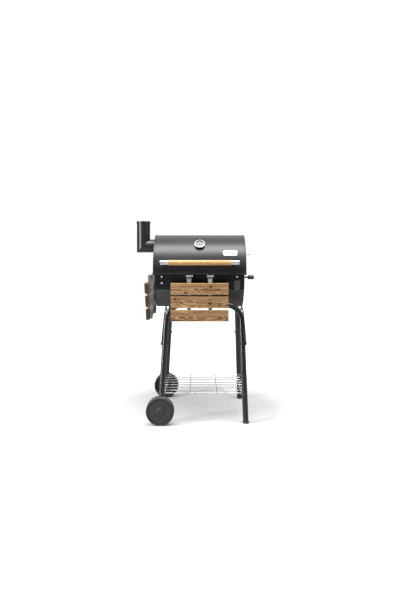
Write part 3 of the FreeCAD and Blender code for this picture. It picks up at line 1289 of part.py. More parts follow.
def clevis(name, middle, wall, at, turn, trim):
    """Two ears on a base plate; the base is trimmed to the wall that it is fixed to."""
    half = "arm_outer_width/2"
    height = "ear_above + ear_below"
    ears = []
    for way in (-1, 1):
        inner = "%s + %d*(arm_width/2 + ear_gap)" % (middle, way)
        start = inner if way > 0 else inner + " - ear_wall"
        ears.append(block("%s_ear_%d" % (name, way + 1), ["ear_wall", "ear_front + %s" % wall, height],
                          (start, "-ear_front", "-ear_below")))
    base = block(name + "_base", ["arm_outer_width", "(%s) - arm_inner - 2" % wall, height],
                 ("%s - %s" % (middle, half), "arm_inner + 2", "-ear_below"))
    whole = fuse(name + "_whole", ears + [base])
    pin = drum(name + "_pin_hole", "hinge_pin + running_gap", "2*arm_outer_width",
               ("%s - arm_outer_width" % middle, 0, 0), ALONG_X)
    placed = place(cut(name + "_drilled", whole, [pin]), at, turn)
    return cut(name, placed, [trim]) if trim else placed


def shelf(which, spacing, at, turn, wall, trims):
    """One folding shelf with its fixed hinge brackets; returns its bolts."""
    arms = []
    brackets = []
    bolts = []
    plain = UPRIGHT if which == "front" else Rotation(Vector(0, 0, 1), -90)
    for index, way in enumerate((-1, 1)):
        middle = "%d*%s/2" % (way, spacing)
        tag = "%s_shelf_%d" % (which, index)
        arms.append(shelf_arm(tag + "_arm", middle, at, turn))
        brackets.append(clevis(tag + "_clevis", middle, wall, at, plain, trims[index]))
        bolts.append(hinge_bolt(tag + "_hinge_bolt", middle, at, plain))
    subpart(group(which + "_shelf_arms", arms), which + "_shelf_arms")
    subpart(group(which + "_shelf_clevises", brackets), which + "_shelf_clevises")
    for index, level in enumerate(("upper", "middle", "lower")):
        name = "%s_board_%s" % (which, level)
        subpart(shelf_board(name, index, spacing, at, turn), name)
    name = which + "_shelf_screws"
    subpart(shelf_screws(name, spacing, at, turn), name)
    return bolts


def shelves():
    at = ("barrel_x", "-front_hinge_y", "front_shelf_z")
    trims = [drum("front_clevis_trim_%d" % index, "body_radius + seat_gap", "body_length",
                  ("body_left", 0, "axis_z"), ALONG_X)
             for index in range(2)]
    bolts = shelf("front", "front_spacing", at, UPRIGHT, "(front_hinge_y - 0.9*body_radius)", trims)
    left_at = ("left_shelf_x", 0, "left_shelf_z")
    turn = Rotation(Vector(0, 0, 1), -90) * Rotation(Vector(1, 0, 0), number("left_lean"))
    bolts += shelf("left", "left_spacing", left_at, turn, "left_hinge_x", [None, None])
    subpart(group("shelf_hinge_bolts", bolts), "shelf_hinge_bolts")


# ---- build, check, write -----------------------------------------------------------------

def build():
    write_sizes()
    for end, sign in zip(FRONT_NAMES, (-1, 1)):
        leg_frame(end, sign)
        wheel(end, sign)
    for side, sign in zip(SIDE_NAMES, (-1, 1)):
        side_brace(side, sign)
    frame_bolts()
    foot_caps()
    saddles()
    bottom_rack()
    wheel_bolts()
    lower_barrel()
    barrel_end("left", "body_left")
    barrel_end("right", "body_right - sheet_wall")
    lift_guides()
    grate_rests()
    body_bolts()
    air_damper()
    cooking_grates()
    charcoal_grate()
    lift_rods()
    lid_shell()
    lid_ends()
    chimney()
    chimney_cap()
    lid_handle()
    thermometer()
    badge()
    warming_rack()
    lid_hinges()
    shelves()
    doc.recompute()


def check():
    """Stop on a failed feature or a bad shape, before anything is written."""
    failed = [thing.Name for thing in doc.Objects if {"Invalid", "Error"} & set(thing.State)]
    bad = [thing.Label for thing in subparts if thing.Shape.isNull() or not thing.Shape.isValid()]
    if failed or bad:
        raise RuntimeError("failed features %s, bad shapes %s" % (failed, bad))


def export():
    os.makedirs("parts", exist_ok=True)
    for thing in subparts:
        thing.Shape.exportStep("parts/%s.step" % thing.Label)
        print("%-24s %2d solids %10.1f mm3" % (thing.Label, len(thing.Shape.Solids), thing.Shape.Volume))


build()
check()
export()
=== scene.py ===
"""Finishes, detail pieces, studio and camera for the barrel smoker."""

import json
import math

import bpy
from mathutils import Matrix, Vector


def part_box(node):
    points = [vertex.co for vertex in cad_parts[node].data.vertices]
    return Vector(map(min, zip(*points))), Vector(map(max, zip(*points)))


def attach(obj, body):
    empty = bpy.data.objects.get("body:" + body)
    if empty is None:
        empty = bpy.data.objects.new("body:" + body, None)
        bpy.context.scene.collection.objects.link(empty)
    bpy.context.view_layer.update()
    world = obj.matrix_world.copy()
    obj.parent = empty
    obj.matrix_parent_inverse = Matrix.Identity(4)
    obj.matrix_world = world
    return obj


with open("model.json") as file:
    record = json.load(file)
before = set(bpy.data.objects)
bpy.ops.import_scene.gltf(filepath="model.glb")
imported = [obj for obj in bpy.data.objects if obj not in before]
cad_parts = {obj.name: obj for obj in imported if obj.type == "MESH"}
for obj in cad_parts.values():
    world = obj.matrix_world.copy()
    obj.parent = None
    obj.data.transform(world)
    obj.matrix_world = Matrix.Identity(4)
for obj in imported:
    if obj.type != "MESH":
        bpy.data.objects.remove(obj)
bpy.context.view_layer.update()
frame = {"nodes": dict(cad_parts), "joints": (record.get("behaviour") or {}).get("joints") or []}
MM = 0.001

JOINTS = {joint["name"]: joint for joint in frame["joints"]}


def middle(node):
    low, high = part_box(node)
    return (low + high) / 2


# The barrel, measured from the shells' and the ends' own boxes.
LID_LOW, LID_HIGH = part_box("lid_shell")
BODY_LOW, BODY_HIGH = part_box("body_shell")
BARREL_X = (BODY_LOW.x + BODY_HIGH.x) / 2
AXIS_Z = BODY_HIGH.z
BODY_R = AXIS_Z - BODY_LOW.z
LID_R = BODY_R + 3 * MM
LID_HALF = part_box("lid_end_right")[1].x - BARREL_X - 0.75 * MM
BODY_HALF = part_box("body_end_right")[1].x - BARREL_X - 0.75 * MM
WHEEL = middle("front_wheel")
TUBE_R = 15 * MM
CHIMNEY_R = 38 * MM


# ---- finishes ----------------------------------------------------------------------------

class Value:
    """One output of a node; arithmetic on it adds Math nodes."""

    def __init__(self, finish, socket):
        self.finish = finish
        self.socket = socket

    def math(self, operation, *others):
        return self.finish.math(operation, self, *others)

    def __add__(self, other):
        return self.math("ADD", other)

    def __sub__(self, other):
        return self.math("SUBTRACT", other)

    def __mul__(self, other):
        return self.math("MULTIPLY", other)

    def __truediv__(self, other):
        return self.math("DIVIDE", other)

    def __rsub__(self, other):
        return self.finish.math("SUBTRACT", other, self)

    def __lt__(self, other):
        return self.math("LESS_THAN", other)

    def __gt__(self, other):
        return self.math("GREATER_THAN", other)

    __radd__ = __add__
    __rmul__ = __mul__


class Finish:
    """A material and the few ways of adding to it."""

    def __init__(self, name):
        self.material = bpy.data.materials.new(name)
        self.material.use_nodes = True
        self.tree = self.material.node_tree
        self.shader = next(node for node in self.tree.nodes if node.type == "BSDF_PRINCIPLED")
        self.place = self.node("ShaderNodeTexCoord", output="Object")

    def node(self, kind, settings=None, output=0, **sockets):
        """Add a node: its settings first, then the values or links of its sockets."""
        made = self.tree.nodes.new(kind)
        for name, setting in (settings or {}).items():
            if name == "stops":
                self.set_stops(made.color_ramp, setting)
            else:
                setattr(made, name, setting)
        for name, value in sockets.items():
            key = int(name[1:]) if name[1:].isdigit() else name.replace("_", " ")
            self.feed(made.inputs[key], value)
        return Value(self, made.outputs[output])

    def feed(self, socket, value):
        if isinstance(value, Value):
            self.tree.links.new(value.socket, socket)
        elif socket.type == "RGBA" and len(value) == 3:
            socket.default_value = (*value, 1)
        else:
            socket.default_value = value

    def set_stops(self, ramp, stops):
        while len(ramp.elements) < len(stops):
            ramp.elements.new(0.5)
        for element, (position, colour) in zip(ramp.elements, stops):
            element.position = position
            element.color = (*colour, 1)

    def math(self, operation, *values):
        numbers = {"i%d" % index: value for index, value in enumerate(values)}
        return self.node("ShaderNodeMath", {"operation": operation}, **numbers)

    def vector(self, operation, *values):
        numbers = {"i%d" % index: value for index, value in enumerate(values)}
        return self.node("ShaderNodeVectorMath", {"operation": operation}, **numbers)

    def from_middle(self, centre):
        """The place, measured from a middle instead of from the floor's origin."""
        return self.vector("SUBTRACT", self.place, tuple(centre))

    def distance(self, across, up):
        return self.math("SQRT", across * across + up * up)

    def axes(self, vector=None):
        """The three coordinates of a vector, the place by default."""
        split = self.node("ShaderNodeSeparateXYZ", Vector=vector or self.place)
        return [Value(self, socket) for socket in split.socket.node.outputs]

    def mapped(self, move=(0, 0, 0), turn=(0, 0, 0), scale=(1, 1, 1), vector=None):
        return self.node("ShaderNodeMapping", Vector=vector or self.place,
                         Location=move, Rotation=turn, Scale=scale)

    def noise(self, scale, detail=4, roughness=0.5, vector=None):
        return self.node("ShaderNodeTexNoise", Vector=vector or self.place, Scale=scale,
                         Detail=detail, Roughness=roughness)

    def ramp(self, factor, *stops):
        return self.node("ShaderNodeValToRGB", {"stops": stops}, Fac=factor)

    def span(self, value, low, high, to_low=0.0, to_high=1.0):
        """Map a range of values on to another, held at its ends."""
        return self.node("ShaderNodeMapRange", {"clamp": True},
                         i0=value, i1=low, i2=high, i3=to_low, i4=to_high)

    def blend(self, factor, first, second):
        return self.node("ShaderNodeMix", {"data_type": "RGBA"}, 2, i0=factor, i6=first, i7=second)

    def bump(self, height, distance):
        return self.node("ShaderNodeBump", Height=height, Distance=distance, Strength=1.0)

    def shade(self, **sockets):
        """Set or link the shader's own sockets."""
        for name, value in sockets.items():
            self.feed(self.shader.inputs[name.replace("_", " ")], value)
        return self.material

    def upward(self):
        """How far a surface faces the sky, from 0 to 1."""
        normal = self.node("ShaderNodeNewGeometry", output="Normal")
        return self.axes(normal)[2]


def scaled(colour, by, lift=0.0):
    return [part * by + lift for part in colour]


def worn_paint(name, colour, roughness, peel=0.00006, dust=0.12, coat=0.0):
    """Sprayed paint: faint mottling, orange peel, and a little dust on what faces up."""
    f = Finish(name)
    cloud = f.noise(9, 3)
    fine = f.noise(160, 3, 0.6)
    base = f.blend(f.span(cloud, 0.35, 0.7), colour, scaled(colour, 1.5, 0.006))
    settled = f.span(f.upward(), 0.55, 1.0) * f.span(f.noise(38, 5, 0.65), 0.42, 0.8) * dust
    base = f.blend(settled, base, (0.30, 0.285, 0.26))
    rough = roughness + (cloud - 0.5) * 0.08 + (fine - 0.5) * 0.04 + settled * 0.6
    peeled = f.noise(900, 2, 0.5) + f.noise(240, 2, 0.5) * 0.8
    return f.shade(Base_Color=base, Roughness=rough, Normal=f.bump(peeled, peel),
                   Coat_Weight=coat, Coat_Roughness=0.2)


def barrel_paint(name, colour, roughness, wall_radius, half_length, gloss):
    """Heat-proof paint outside; dull and sooty inside the barrel."""
    f = Finish(name)
    x, y, z = f.axes()
    within_ends = f.math("ABSOLUTE", x - BARREL_X) < half_length
    soot = (f.distance(y, z - AXIS_Z) < wall_radius) * within_ends
    cloud = f.noise(7, 4)
    fleck = f.noise(300, 2, 0.5)
    base = f.blend(f.span(cloud, 0.3, 0.75), colour, scaled(colour, 1.5, 0.001))
    streak = f.noise(1, 5, 0.6, f.mapped(scale=(60, 5, 5)))
    base = f.blend(f.span(streak, 0.55, 0.8) * 0.03, base, (0.16, 0.15, 0.14))
    crust = f.span(f.noise(26, 5, 0.7), 0.4, 0.75)
    base = f.blend(soot, base, f.blend(crust, (0.011, 0.0095, 0.0085), (0.05, 0.036, 0.026)))
    rough = f.span(soot, 0, 1, roughness, 0.85) + (cloud - 0.5) * 0.1 + (fleck - 0.5) * 0.06
    peeled = f.noise(700, 2, 0.5) + f.noise(180, 3, 0.5) * 0.7
    return f.shade(Base_Color=base, Roughness=rough, Normal=f.bump(peeled, 0.00008),
                   Specular_IOR_Level=gloss)


def galvanised(name, pale, dark, roughness):
    """Zinc-coated sheet: a patchwork of dull crystals under a worn grey."""
    f = Finish(name)
    crystals = f.node("ShaderNodeTexVoronoi", output="Color", Vector=f.place, Scale=210)
    patch = f.axes(crystals)[0]
    cloud = f.noise(34, 4, 0.6)
    base = f.blend(f.span(patch * 0.3 + cloud * 0.9, 0.30, 0.90), dark, pale)
    return f.shade(Base_Color=base, Metallic=0.35, Roughness=roughness + (patch - 0.5) * 0.15,
                   Normal=f.bump(f.noise(500, 3) + patch * 0.3, 0.00006))


def stained_wood(name, centre, grain_turn, seed, pale, dark, knots=(), gloss=0.5, pitch=380.0,
                 half=None, sheen=0.35):
    """Sawn wood: growth rings warped along the grain, fibres, knots, and darker end grain.

    knots holds (along, across, size); pitch is rings per metre; half is half a board's width,
    where its long edges get a paler band, a painted highlight.
    """
    f = Finish(name)
    # Local axes: X along the grain, Y through the board, Z across it.
    local = f.mapped(turn=grain_turn, vector=f.from_middle(centre))
    x, y, z = f.axes(local)

    def stretched(detail, roughness, move, scale):
        return f.noise(1.0, detail, roughness, f.mapped(move=move, scale=scale, vector=local))

    drift = stretched(2, 0.5, (seed, 0, 0), (4.2, 11, 11))
    sway = stretched(3, 0.5, (seed * 1.7, 3, 0), (16, 60, 60))
    fibre = stretched(5, 0.65, (seed, 0, 0), (28, 900, 520))
    streak = stretched(3, 0.6, (seed, 7, 0), (5, 90, 70))

    # The tree's heart lies below and behind the board; knots push its rings aside.
    shift = (drift - 0.5) * 0.038 + (sway - 0.5) * 0.006
    core = None
    for knot_x, knot_z, size in knots:
        far_squared = (x - knot_x) * (x - knot_x) * 0.35 + (z - knot_z) * (z - knot_z)
        swirl = f.math("EXPONENT", far_squared / (-size * size))
        shift = shift + swirl * size * 1.3
        core = swirl if core is None else core + swirl
    ring = f.distance(y + 55 * MM, z + 12 * MM) + shift
    ripple = f.math("FRACT", ring * pitch)
    late = f.span(ripple, 0.35, 0.92) * (1 - f.span(ripple, 0.92, 1.0))
    tone = late * 0.55 + (fibre - 0.5) * 0.75 + (streak - 0.5) * 1.1 + 0.22
    if knots:
        tone = tone + f.span(core, 0.72, 0.95) * 0.9
    mid = [light * 0.42 + deep * 0.58 for light, deep in zip(pale, dark)]
    base = f.ramp(tone, (0.05, pale), (0.38, mid), (0.72, dark), (1.0, scaled(dark, 0.45)))

    normal = f.node("ShaderNodeNewGeometry", output="Normal")
    along = f.math("ABSOLUTE", f.axes(f.mapped(turn=grain_turn, vector=normal))[0])
    sawn = f.span(along, 0.6, 0.9)
    pores = f.node("ShaderNodeTexVoronoi", Vector=local, Scale=900)
    base = f.blend(sawn * f.span(pores, 0.1, 0.6, 0.98, 0.88), base, scaled(dark, 0.22))
    # A paler band along both long edges of a board: a painted highlight, broken up by the streaks.
    if half is not None:
        edge = f.span(f.math("ABSOLUTE", z), half - 3.2 * MM, half - 0.6 * MM)
        edge_highlight = edge * f.span(streak, 0.3, 0.6, 0.25, 0.8)
        base = f.blend(edge_highlight * (1 - sawn), base, scaled(pale, 1.25))
    rough = gloss + late * 0.12 + (fibre - 0.5) * 0.25 + sawn * 0.2
    return f.shade(Base_Color=base, Roughness=rough, Specular_IOR_Level=sheen,
                   Normal=f.bump(fibre * 0.6 - late * 0.5, 0.00035))


def bright_metal(name, colour, roughness, brush=(1, 1, 1), tint=0.0, scratches=0.10):
    """Plated or polished metal with a faint brushing."""
    f = Finish(name)
    hair = f.noise(1.0, 4, 0.6, f.mapped(scale=scaled(brush, 260)))
    cloud = f.noise(30, 3)
    base = f.blend(f.span(cloud, 0.35, 0.75) * 0.5, colour, scaled(colour, 0.72))
    if tint:
        base = f.blend(f.span(f.noise(11, 4), 0.4, 0.7) * tint, base, (0.24, 0.13, 0.06))
    rough = roughness + (hair - 0.5) * scratches * 2 + (cloud - 0.5) * 0.08
    return f.shade(Base_Color=base, Metallic=1.0, Roughness=rough, Normal=f.bump(hair, 0.00003))


def barrel_bolts(name, colour, roughness):
    """Plated bolts, with paint over the one that the air damper turns on."""
    f = Finish(name)
    x, y, z = f.axes()
    painted = (x > BARREL_X + 100 * MM) * (z < AXIS_Z - 42 * MM)
    cloud = f.noise(240, 3)
    base = f.blend(f.span(cloud, 0.35, 0.75) * 0.5, colour, scaled(colour, 0.6))
    base = f.blend(painted, base, (0.02, 0.02, 0.02))
    rough = roughness + (cloud - 0.5) * 0.1 + painted * 0.15
    return f.shade(Base_Color=base, Metallic=1 - painted, Roughness=rough,
                   Normal=f.bump(cloud, 0.00003))


def moulded(name, colour, roughness, centre=None):
    """Moulded plastic with a fine grain, and turned rings where it is a wheel."""
    f = Finish(name)
    grain = f.noise(620, 3, 0.6)
    cloud = f.noise(14, 3)
    base = f.blend(f.span(cloud, 0.3, 0.75), colour, scaled(colour, 1.35))
    height = grain
    if centre is not None:
        x, y, z = f.axes(f.from_middle(centre))
        radius = f.distance(x, z)
        groove = f.math("SINE", radius * (2 * math.pi / (3.2 * MM)))
        inside = (radius < 60 * MM) * (radius > 22 * MM)
        height = grain + groove * inside * 0.8
        scuff = f.span(f.noise(45, 5, 0.7), 0.5, 0.75) * (radius > 72.5 * MM)
        base = f.blend(scuff * 0.7, base, (0.19, 0.175, 0.155))
    rough = roughness + (grain - 0.5) * 0.2
    return f.shade(Base_Color=base, Roughness=rough, Normal=f.bump(height, 0.00012))


def dial_card(name, centre, facing):
    """A pale dial with plain division marks and three quiet bands."""
    f = Finish(name)
    tip = math.atan2(facing.z, -facing.y)
    x, y, z = f.axes(f.mapped(turn=(tip - math.pi / 2, 0, 0), vector=f.from_middle(centre)))
    radius = f.distance(x, y)
    turn = f.math("ARCTAN2", x, y)
    open_arc = f.math("ABSOLUTE", turn) < math.radians(136)

    def strokes(in_a_turn, thickness, inner):
        """Radial strokes, so many in a full turn, from an inner radius to the dial's edge."""
        beside = f.math("ABSOLUTE", f.math("FRACT", turn * (in_a_turn / math.tau) + 0.5) - 0.5)
        return (beside < thickness) * (radius > inner) * (radius < 24 * MM)

    short, long = strokes(54, 0.15, 21.5 * MM), strokes(13.5, 0.07, 19.5 * MM)
    marks = f.math("MAXIMUM", short, long) * open_arc
    band = (radius > 15.5 * MM) * (radius < 17.5 * MM) * open_arc
    base = f.blend(band * (turn < -0.6) * 0.8, (0.25, 0.255, 0.255), (0.03, 0.05, 0.10))
    base = f.blend(band * (turn > -0.6) * (turn < 0.9) * 0.8, base, (0.03, 0.09, 0.03))
    base = f.blend(band * (turn > 0.9) * 0.8, base, (0.22, 0.03, 0.02))
    base = f.blend(marks, base, (0.015, 0.015, 0.018))
    return f.shade(Base_Color=base, Roughness=0.45 + f.noise(90, 2) * 0.1)


def plain_glass(name):
    """A clear pane with faint smears."""
    f = Finish(name)
    smear = f.span(f.noise(60, 4), 0.5, 0.9) * 0.06
    return f.shade(Base_Color=(0.02, 0.02, 0.02), Roughness=0.03 + smear, Alpha=0.08 + smear,
                   IOR=1.45, Specular_IOR_Level=0.25)


def ashy_steel(name, colour, ash):
    """Steel that has been in a fire: blotched, rough, with ash on what faces up."""
    f = Finish(name)
    blotch = f.noise(24, 5, 0.65)
    base = f.ramp(blotch, (0.3, colour), (0.55, (0.075, 0.05, 0.036)),
                  (0.75, (0.035, 0.034, 0.036)))
    settled = f.span(f.upward(), 0.6, 1.0) * f.span(f.noise(70, 6, 0.7), 0.45, 0.7) * ash
    base = f.blend(settled, base, (0.34, 0.33, 0.31))
    rough = 0.55 + (blotch - 0.5) * 0.3 + settled * 0.3
    return f.shade(Base_Color=base, Metallic=0.55 - settled * 0.5, Roughness=rough,
                   Normal=f.bump(f.noise(420, 4), 0.00015))


def plate_enamel(name, colour):
    """Fired enamel on a stamped plate."""
    f = Finish(name)
    cloud = f.noise(60, 3)
    base = f.blend(f.span(cloud, 0.3, 0.7), colour, scaled(colour, 0.93))
    return f.shade(Base_Color=base, Roughness=0.28 + cloud * 0.12, Coat_Weight=0.3,
                   Coat_Roughness=0.12, Normal=f.bump(f.noise(500, 2), 0.00003))


def dress(finish, *names):
    """Give a finish to CAD nodes or to pieces, by name."""
    for name in names:
        thing = frame["nodes"].get(name) or bpy.data.objects[name]
        if not thing.material_slots:
            thing.data.materials.append(finish)
        for slot in thing.material_slots:
            slot.material = finish


# Just inside the outer skins: what lies nearer to the barrel's middle is sooty.
LID_SKIN = LID_R - 1.0 * MM
BODY_SKIN = BODY_R - 0.9 * MM
LID_PAINT = barrel_paint("lid_paint", (0.0036, 0.0036, 0.0037), 0.36, LID_SKIN, LID_HALF, 0.42)
BODY_PAINT = barrel_paint("body_paint", (0.0030, 0.0030, 0.0032), 0.40, BODY_SKIN, BODY_HALF, 0.20)
# The belly is the same black paint as the body; its lighter colour is a painted reflection of the
# pale floor below it.
BELLY_REFLECTION_PAINT = barrel_paint("belly_paint_painted_reflection", (0.036, 0.037, 0.039), 0.55, BODY_SKIN, BODY_HALF, 0.40)
DAMPER_PAINT = worn_paint("damper_paint", (0.060, 0.056, 0.056), 0.50, dust=0.02)
SMOOTH_PEEL = 0.000012
TUBE_PAINT = worn_paint("tube_paint", (0.0040, 0.0041, 0.0045), 0.25, SMOOTH_PEEL, 0.01, coat=0.1)
CHIMNEY_PAINT = worn_paint("chimney_paint", (0.0030, 0.0031, 0.0033), 0.33, SMOOTH_PEEL, 0.01)
HINGE_PAINT = worn_paint("hinge_paint", (0.008, 0.008, 0.0085), 0.45)
ARM_ZINC = galvanised("arm_zinc", (0.42, 0.42, 0.42), (0.16, 0.165, 0.17), 0.48)
CLEVIS_ZINC = galvanised("clevis_zinc", (0.20, 0.205, 0.21), (0.085, 0.09, 0.095), 0.42)
BOLT_BLACK = worn_paint("bolt_black", (0.012, 0.012, 0.012), 0.35, dust=0.0)
ZINC = bright_metal("zinc", (0.66, 0.66, 0.65), 0.26)
BARREL_BOLT = barrel_bolts("barrel_bolt", (0.42, 0.42, 0.42), 0.30)
# The thermometer's case is steel, coloured very dark as painted shade under the dial.
CASE_STEEL_SHADED = bright_metal("case_steel_painted_shade", (0.11, 0.11, 0.115), 0.30)
CHROME = bright_metal("chrome", (0.80, 0.80, 0.81), 0.07, (0.1, 1, 1), scratches=0.02)
BEZEL_STEEL = bright_metal("bezel_steel", (0.45, 0.45, 0.46), 0.22)
WIRE = bright_metal("plated_wire", (0.74, 0.74, 0.74), 0.12, scratches=0.04)
HOT_WIRE = bright_metal("cooking_wire", (0.36, 0.35, 0.34), 0.36, tint=0.45)
WHEEL_PLASTIC = moulded("wheel_plastic", (0.0185, 0.0185, 0.0192), 0.52, WHEEL)
HUB_PLASTIC = moulded("hub_plastic", (0.030, 0.030, 0.031), 0.45)
CAP_PLASTIC = moulded("cap_plastic", (0.020, 0.020, 0.021), 0.45)
KNOB_PLASTIC = moulded("knob_plastic", (0.006, 0.006, 0.0065), 0.30)
DARK_STEEL = ashy_steel("dark_steel", (0.10, 0.10, 0.105), 0.0)
ASH_STEEL = ashy_steel("ash_steel", (0.085, 0.08, 0.078), 0.9)
BADGE = plate_enamel("badge_enamel", (0.28, 0.285, 0.29))
NEEDLE = plate_enamel("needle_enamel", (0.16, 0.010, 0.007))
LENS = plain_glass("dial_lens")

DIAL_AXIS = Vector(JOINTS["thermometer_reading"]["axis"])
DIAL = dial_card("dial_card", middle("thermometer_dial"), DIAL_AXIS)

dress(LID_PAINT, "lid_shell", "lid_end_left", "lid_end_right")
dress(BODY_PAINT, "body_shell", "body_end_left", "body_end_right")
dress(BELLY_REFLECTION_PAINT, "belly_shell")
dress(DAMPER_PAINT, "air_damper")
dress(CHIMNEY_PAINT, "chimney_pipe", "chimney_flange", "chimney_band", "chimney_cap")
dress(TUBE_PAINT, "front_leg_frame", "rear_leg_frame", "left_side_brace", "right_side_brace",
      "frame_saddles")
dress(HINGE_PAINT, "body_hinge_leaves", "lid_hinge_leaves", "grate_rests", "handle_standoffs",
      "lift_guides")
dress(ARM_ZINC, "front_shelf_arms", "left_shelf_arms")
dress(CLEVIS_ZINC, "left_shelf_clevises")
dress(BOLT_BLACK, "frame_bolts")
dress(BARREL_BOLT, "body_bolts", "wheel_nuts")
dress(CASE_STEEL_SHADED, "thermometer_case")
dress(ZINC, "shelf_hinge_bolts", "front_shelf_clevises",
      "lid_hinge_pins", "front_shelf_screws", "left_shelf_screws", "chimney_cap_screw")
dress(CHROME, "handle_ferrules")
dress(WIRE, "bottom_rack")
dress(HOT_WIRE, "cooking_grate_left", "cooking_grate_right", "warming_rack")
dress(WHEEL_PLASTIC, "front_wheel", "rear_wheel")
dress(CAP_PLASTIC, "foot_caps", "wheel_bolts")
dress(KNOB_PLASTIC, "lift_knobs")
dress(DARK_STEEL, "lift_rods")
dress(ASH_STEEL, "charcoal_grate")
dress(BADGE, "badge_plate")
dress(NEEDLE, "thermometer_needle")
dress(LENS, "thermometer_lens")
dress(DIAL, "thermometer_dial")

BOARD_LOW, BOARD_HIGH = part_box("front_board_upper")
BOARD_HALF = (BOARD_HIGH.z - BOARD_LOW.z) / 2
BOARD_PALE = (0.415, 0.252, 0.110)
BOARD_DARK = (0.080, 0.036, 0.012)
# Each board's knots: along the board, across it, and their size, in metres.
KNOTS = {
    "front_board_upper": ((0.06, 0.012, 0.011), (-0.075, -0.02, 0.012)),
    "front_board_middle": ((-0.132, 0.018, 0.009), (0.055, -0.006, 0.014)),
    "front_board_lower": ((-0.03, 0.02, 0.008),),
    "left_board_upper": ((0.08, -0.01, 0.01),),
    "left_board_middle": ((-0.06, 0.012, 0.011),),
    "left_board_lower": ((0.02, -0.015, 0.009),),
}
for number, (node, knots) in enumerate(sorted(KNOTS.items())):
    sideways = 0 if node.startswith("front") else math.radians(90)
    wood = stained_wood(node + "_wood", middle(node), (0, 0, sideways), 3.1 * number + 0.7,
                        BOARD_PALE, BOARD_DARK, knots, half=BOARD_HALF)
    dress(wood, node)
GRIP_WOOD = stained_wood("grip_wood", middle("handle_grip"), (0, 0, 0), 5.3, (0.51, 0.320, 0.136),
                         (0.36, 0.185, 0.060), (), 0.30, 300.0, sheen=0.5)
dress(GRIP_WOOD, "handle_grip")


# ---- detail pieces -----------------------------------------------------------------------

def start(name):
    """Name the primitive that was just added, with its place and size put into its mesh."""
    piece = bpy.context.object
    piece.name = name
    bpy.ops.object.transform_apply(location=True, rotation=True, scale=True)
    return piece


def clear_selection():
    bpy.ops.object.select_all(action="DESELECT")


def pick_faces(piece, test):
    """Select the faces whose middle and normal pass a test, in edit mode."""
    bpy.ops.object.mode_set(mode="EDIT")
    bpy.ops.mesh.select_mode(type="FACE")
    bpy.ops.mesh.select_all(action="DESELECT")
    bpy.ops.object.mode_set(mode="OBJECT")
    for face in piece.data.polygons:
        face.select = test(face.center, face.normal)
    bpy.ops.object.mode_set(mode="EDIT")


def stretch(piece, size):
    """Bring a unit cube or plane to a size, and make it the active piece."""
    settle(piece, Matrix.Diagonal((*size, 1)))
    bpy.context.view_layer.objects.active = piece


def select_whole_mesh():
    bpy.ops.mesh.select_all(action="SELECT")


def push_out(x, y, z):
    """Extrude the selected faces and move the new ones."""
    bpy.ops.mesh.extrude_region_move(TRANSFORM_OT_translate={"value": (x, y, z)})


def point_faces_outwards():
    select_whole_mesh()
    bpy.ops.mesh.normals_make_consistent(inside=False)


def apply_modifier(piece, kind, **settings):
    modifier = piece.modifiers.new(kind.lower(), kind)
    for name, value in settings.items():
        setattr(modifier, name, value)
    bpy.ops.object.modifier_apply(modifier=modifier.name)


def settle(piece, place):
    """Move a piece modelled at the origin to its place, in its mesh."""
    piece.data.transform(place)
    piece.data.update()
    return piece


def copy_of(piece, name, place):
    """A piece's twin, with its own mesh, at a place."""
    twin = bpy.data.objects.new(name, piece.data.copy())
    bpy.context.collection.objects.link(twin)
    return settle(twin, place)


def finish_piece(piece, material, body, angle=35):
    """Smooth a piece up to an angle, paint it, and let it ride on its body."""
    clear_selection()
    piece.select_set(True)
    bpy.context.view_layer.objects.active = piece
    bpy.ops.object.shade_smooth_by_angle(angle=math.radians(angle))
    piece.data.materials.clear()
    piece.data.materials.append(material)
    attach(piece, body)
    return piece


def lathe(name, profile, steps=64):
    """Spin a profile of (radius, height) points round the local Z axis."""
    clear_selection()
    bpy.ops.mesh.primitive_circle_add(vertices=len(profile), radius=1)
    piece = bpy.context.object
    piece.name = name
    for vertex, (radius, height) in zip(piece.data.vertices, profile):
        vertex.co = (radius, 0, height)
    bpy.ops.object.mode_set(mode="EDIT")
    select_whole_mesh()
    bpy.ops.mesh.spin(steps=steps, angle=math.tau, center=(0, 0, 0), axis=(0, 0, 1))
    select_whole_mesh()
    bpy.ops.mesh.remove_doubles(threshold=0.01 * MM)
    point_faces_outwards()
    bpy.ops.object.mode_set(mode="OBJECT")
    return piece


def in_mm(profile):
    """A lathe profile given in millimetres, in metres."""
    return [(radius * MM, height * MM) for radius, height in profile]


def facing(direction, spot):
    """A place whose local Z points along a direction."""
    turn = Vector((0, 0, 1)).rotation_difference(Vector(direction)).to_matrix().to_4x4()
    return Matrix.Translation(spot) @ turn


def turned_to(x_axis, y_axis, z_axis):
    """The turn that lays a piece's own axes along three directions."""
    return Matrix((x_axis, y_axis, z_axis)).transposed().to_4x4()


def rivet_shape():
    """A domed rivet head with a small flat skirt."""
    clear_selection()
    bpy.ops.mesh.primitive_cylinder_add(vertices=20, radius=3.1 * MM, depth=0.5 * MM,
                                        location=(0, 0, 0.25 * MM))
    piece = start("rivet")
    pick_faces(piece, lambda centre, normal: normal.z > 0.9)
    for grow, rise in ((0.86, 0.75), (0.72, 0.45), (0.5, 0.2)):
        push_out(0, 0, rise * MM)
        bpy.ops.transform.resize(value=(grow, grow, 1))
    bpy.ops.object.mode_set(mode="OBJECT")
    return piece


def on_shell(radius, angle, across):
    """A spot on the barrel and its outward direction; 0 degrees is the front, 180 the rear."""
    lean = math.radians(angle)
    outward = Vector((0, -math.cos(lean), math.sin(lean)))
    return Vector((across, 0, AXIS_Z)) + outward * radius, outward


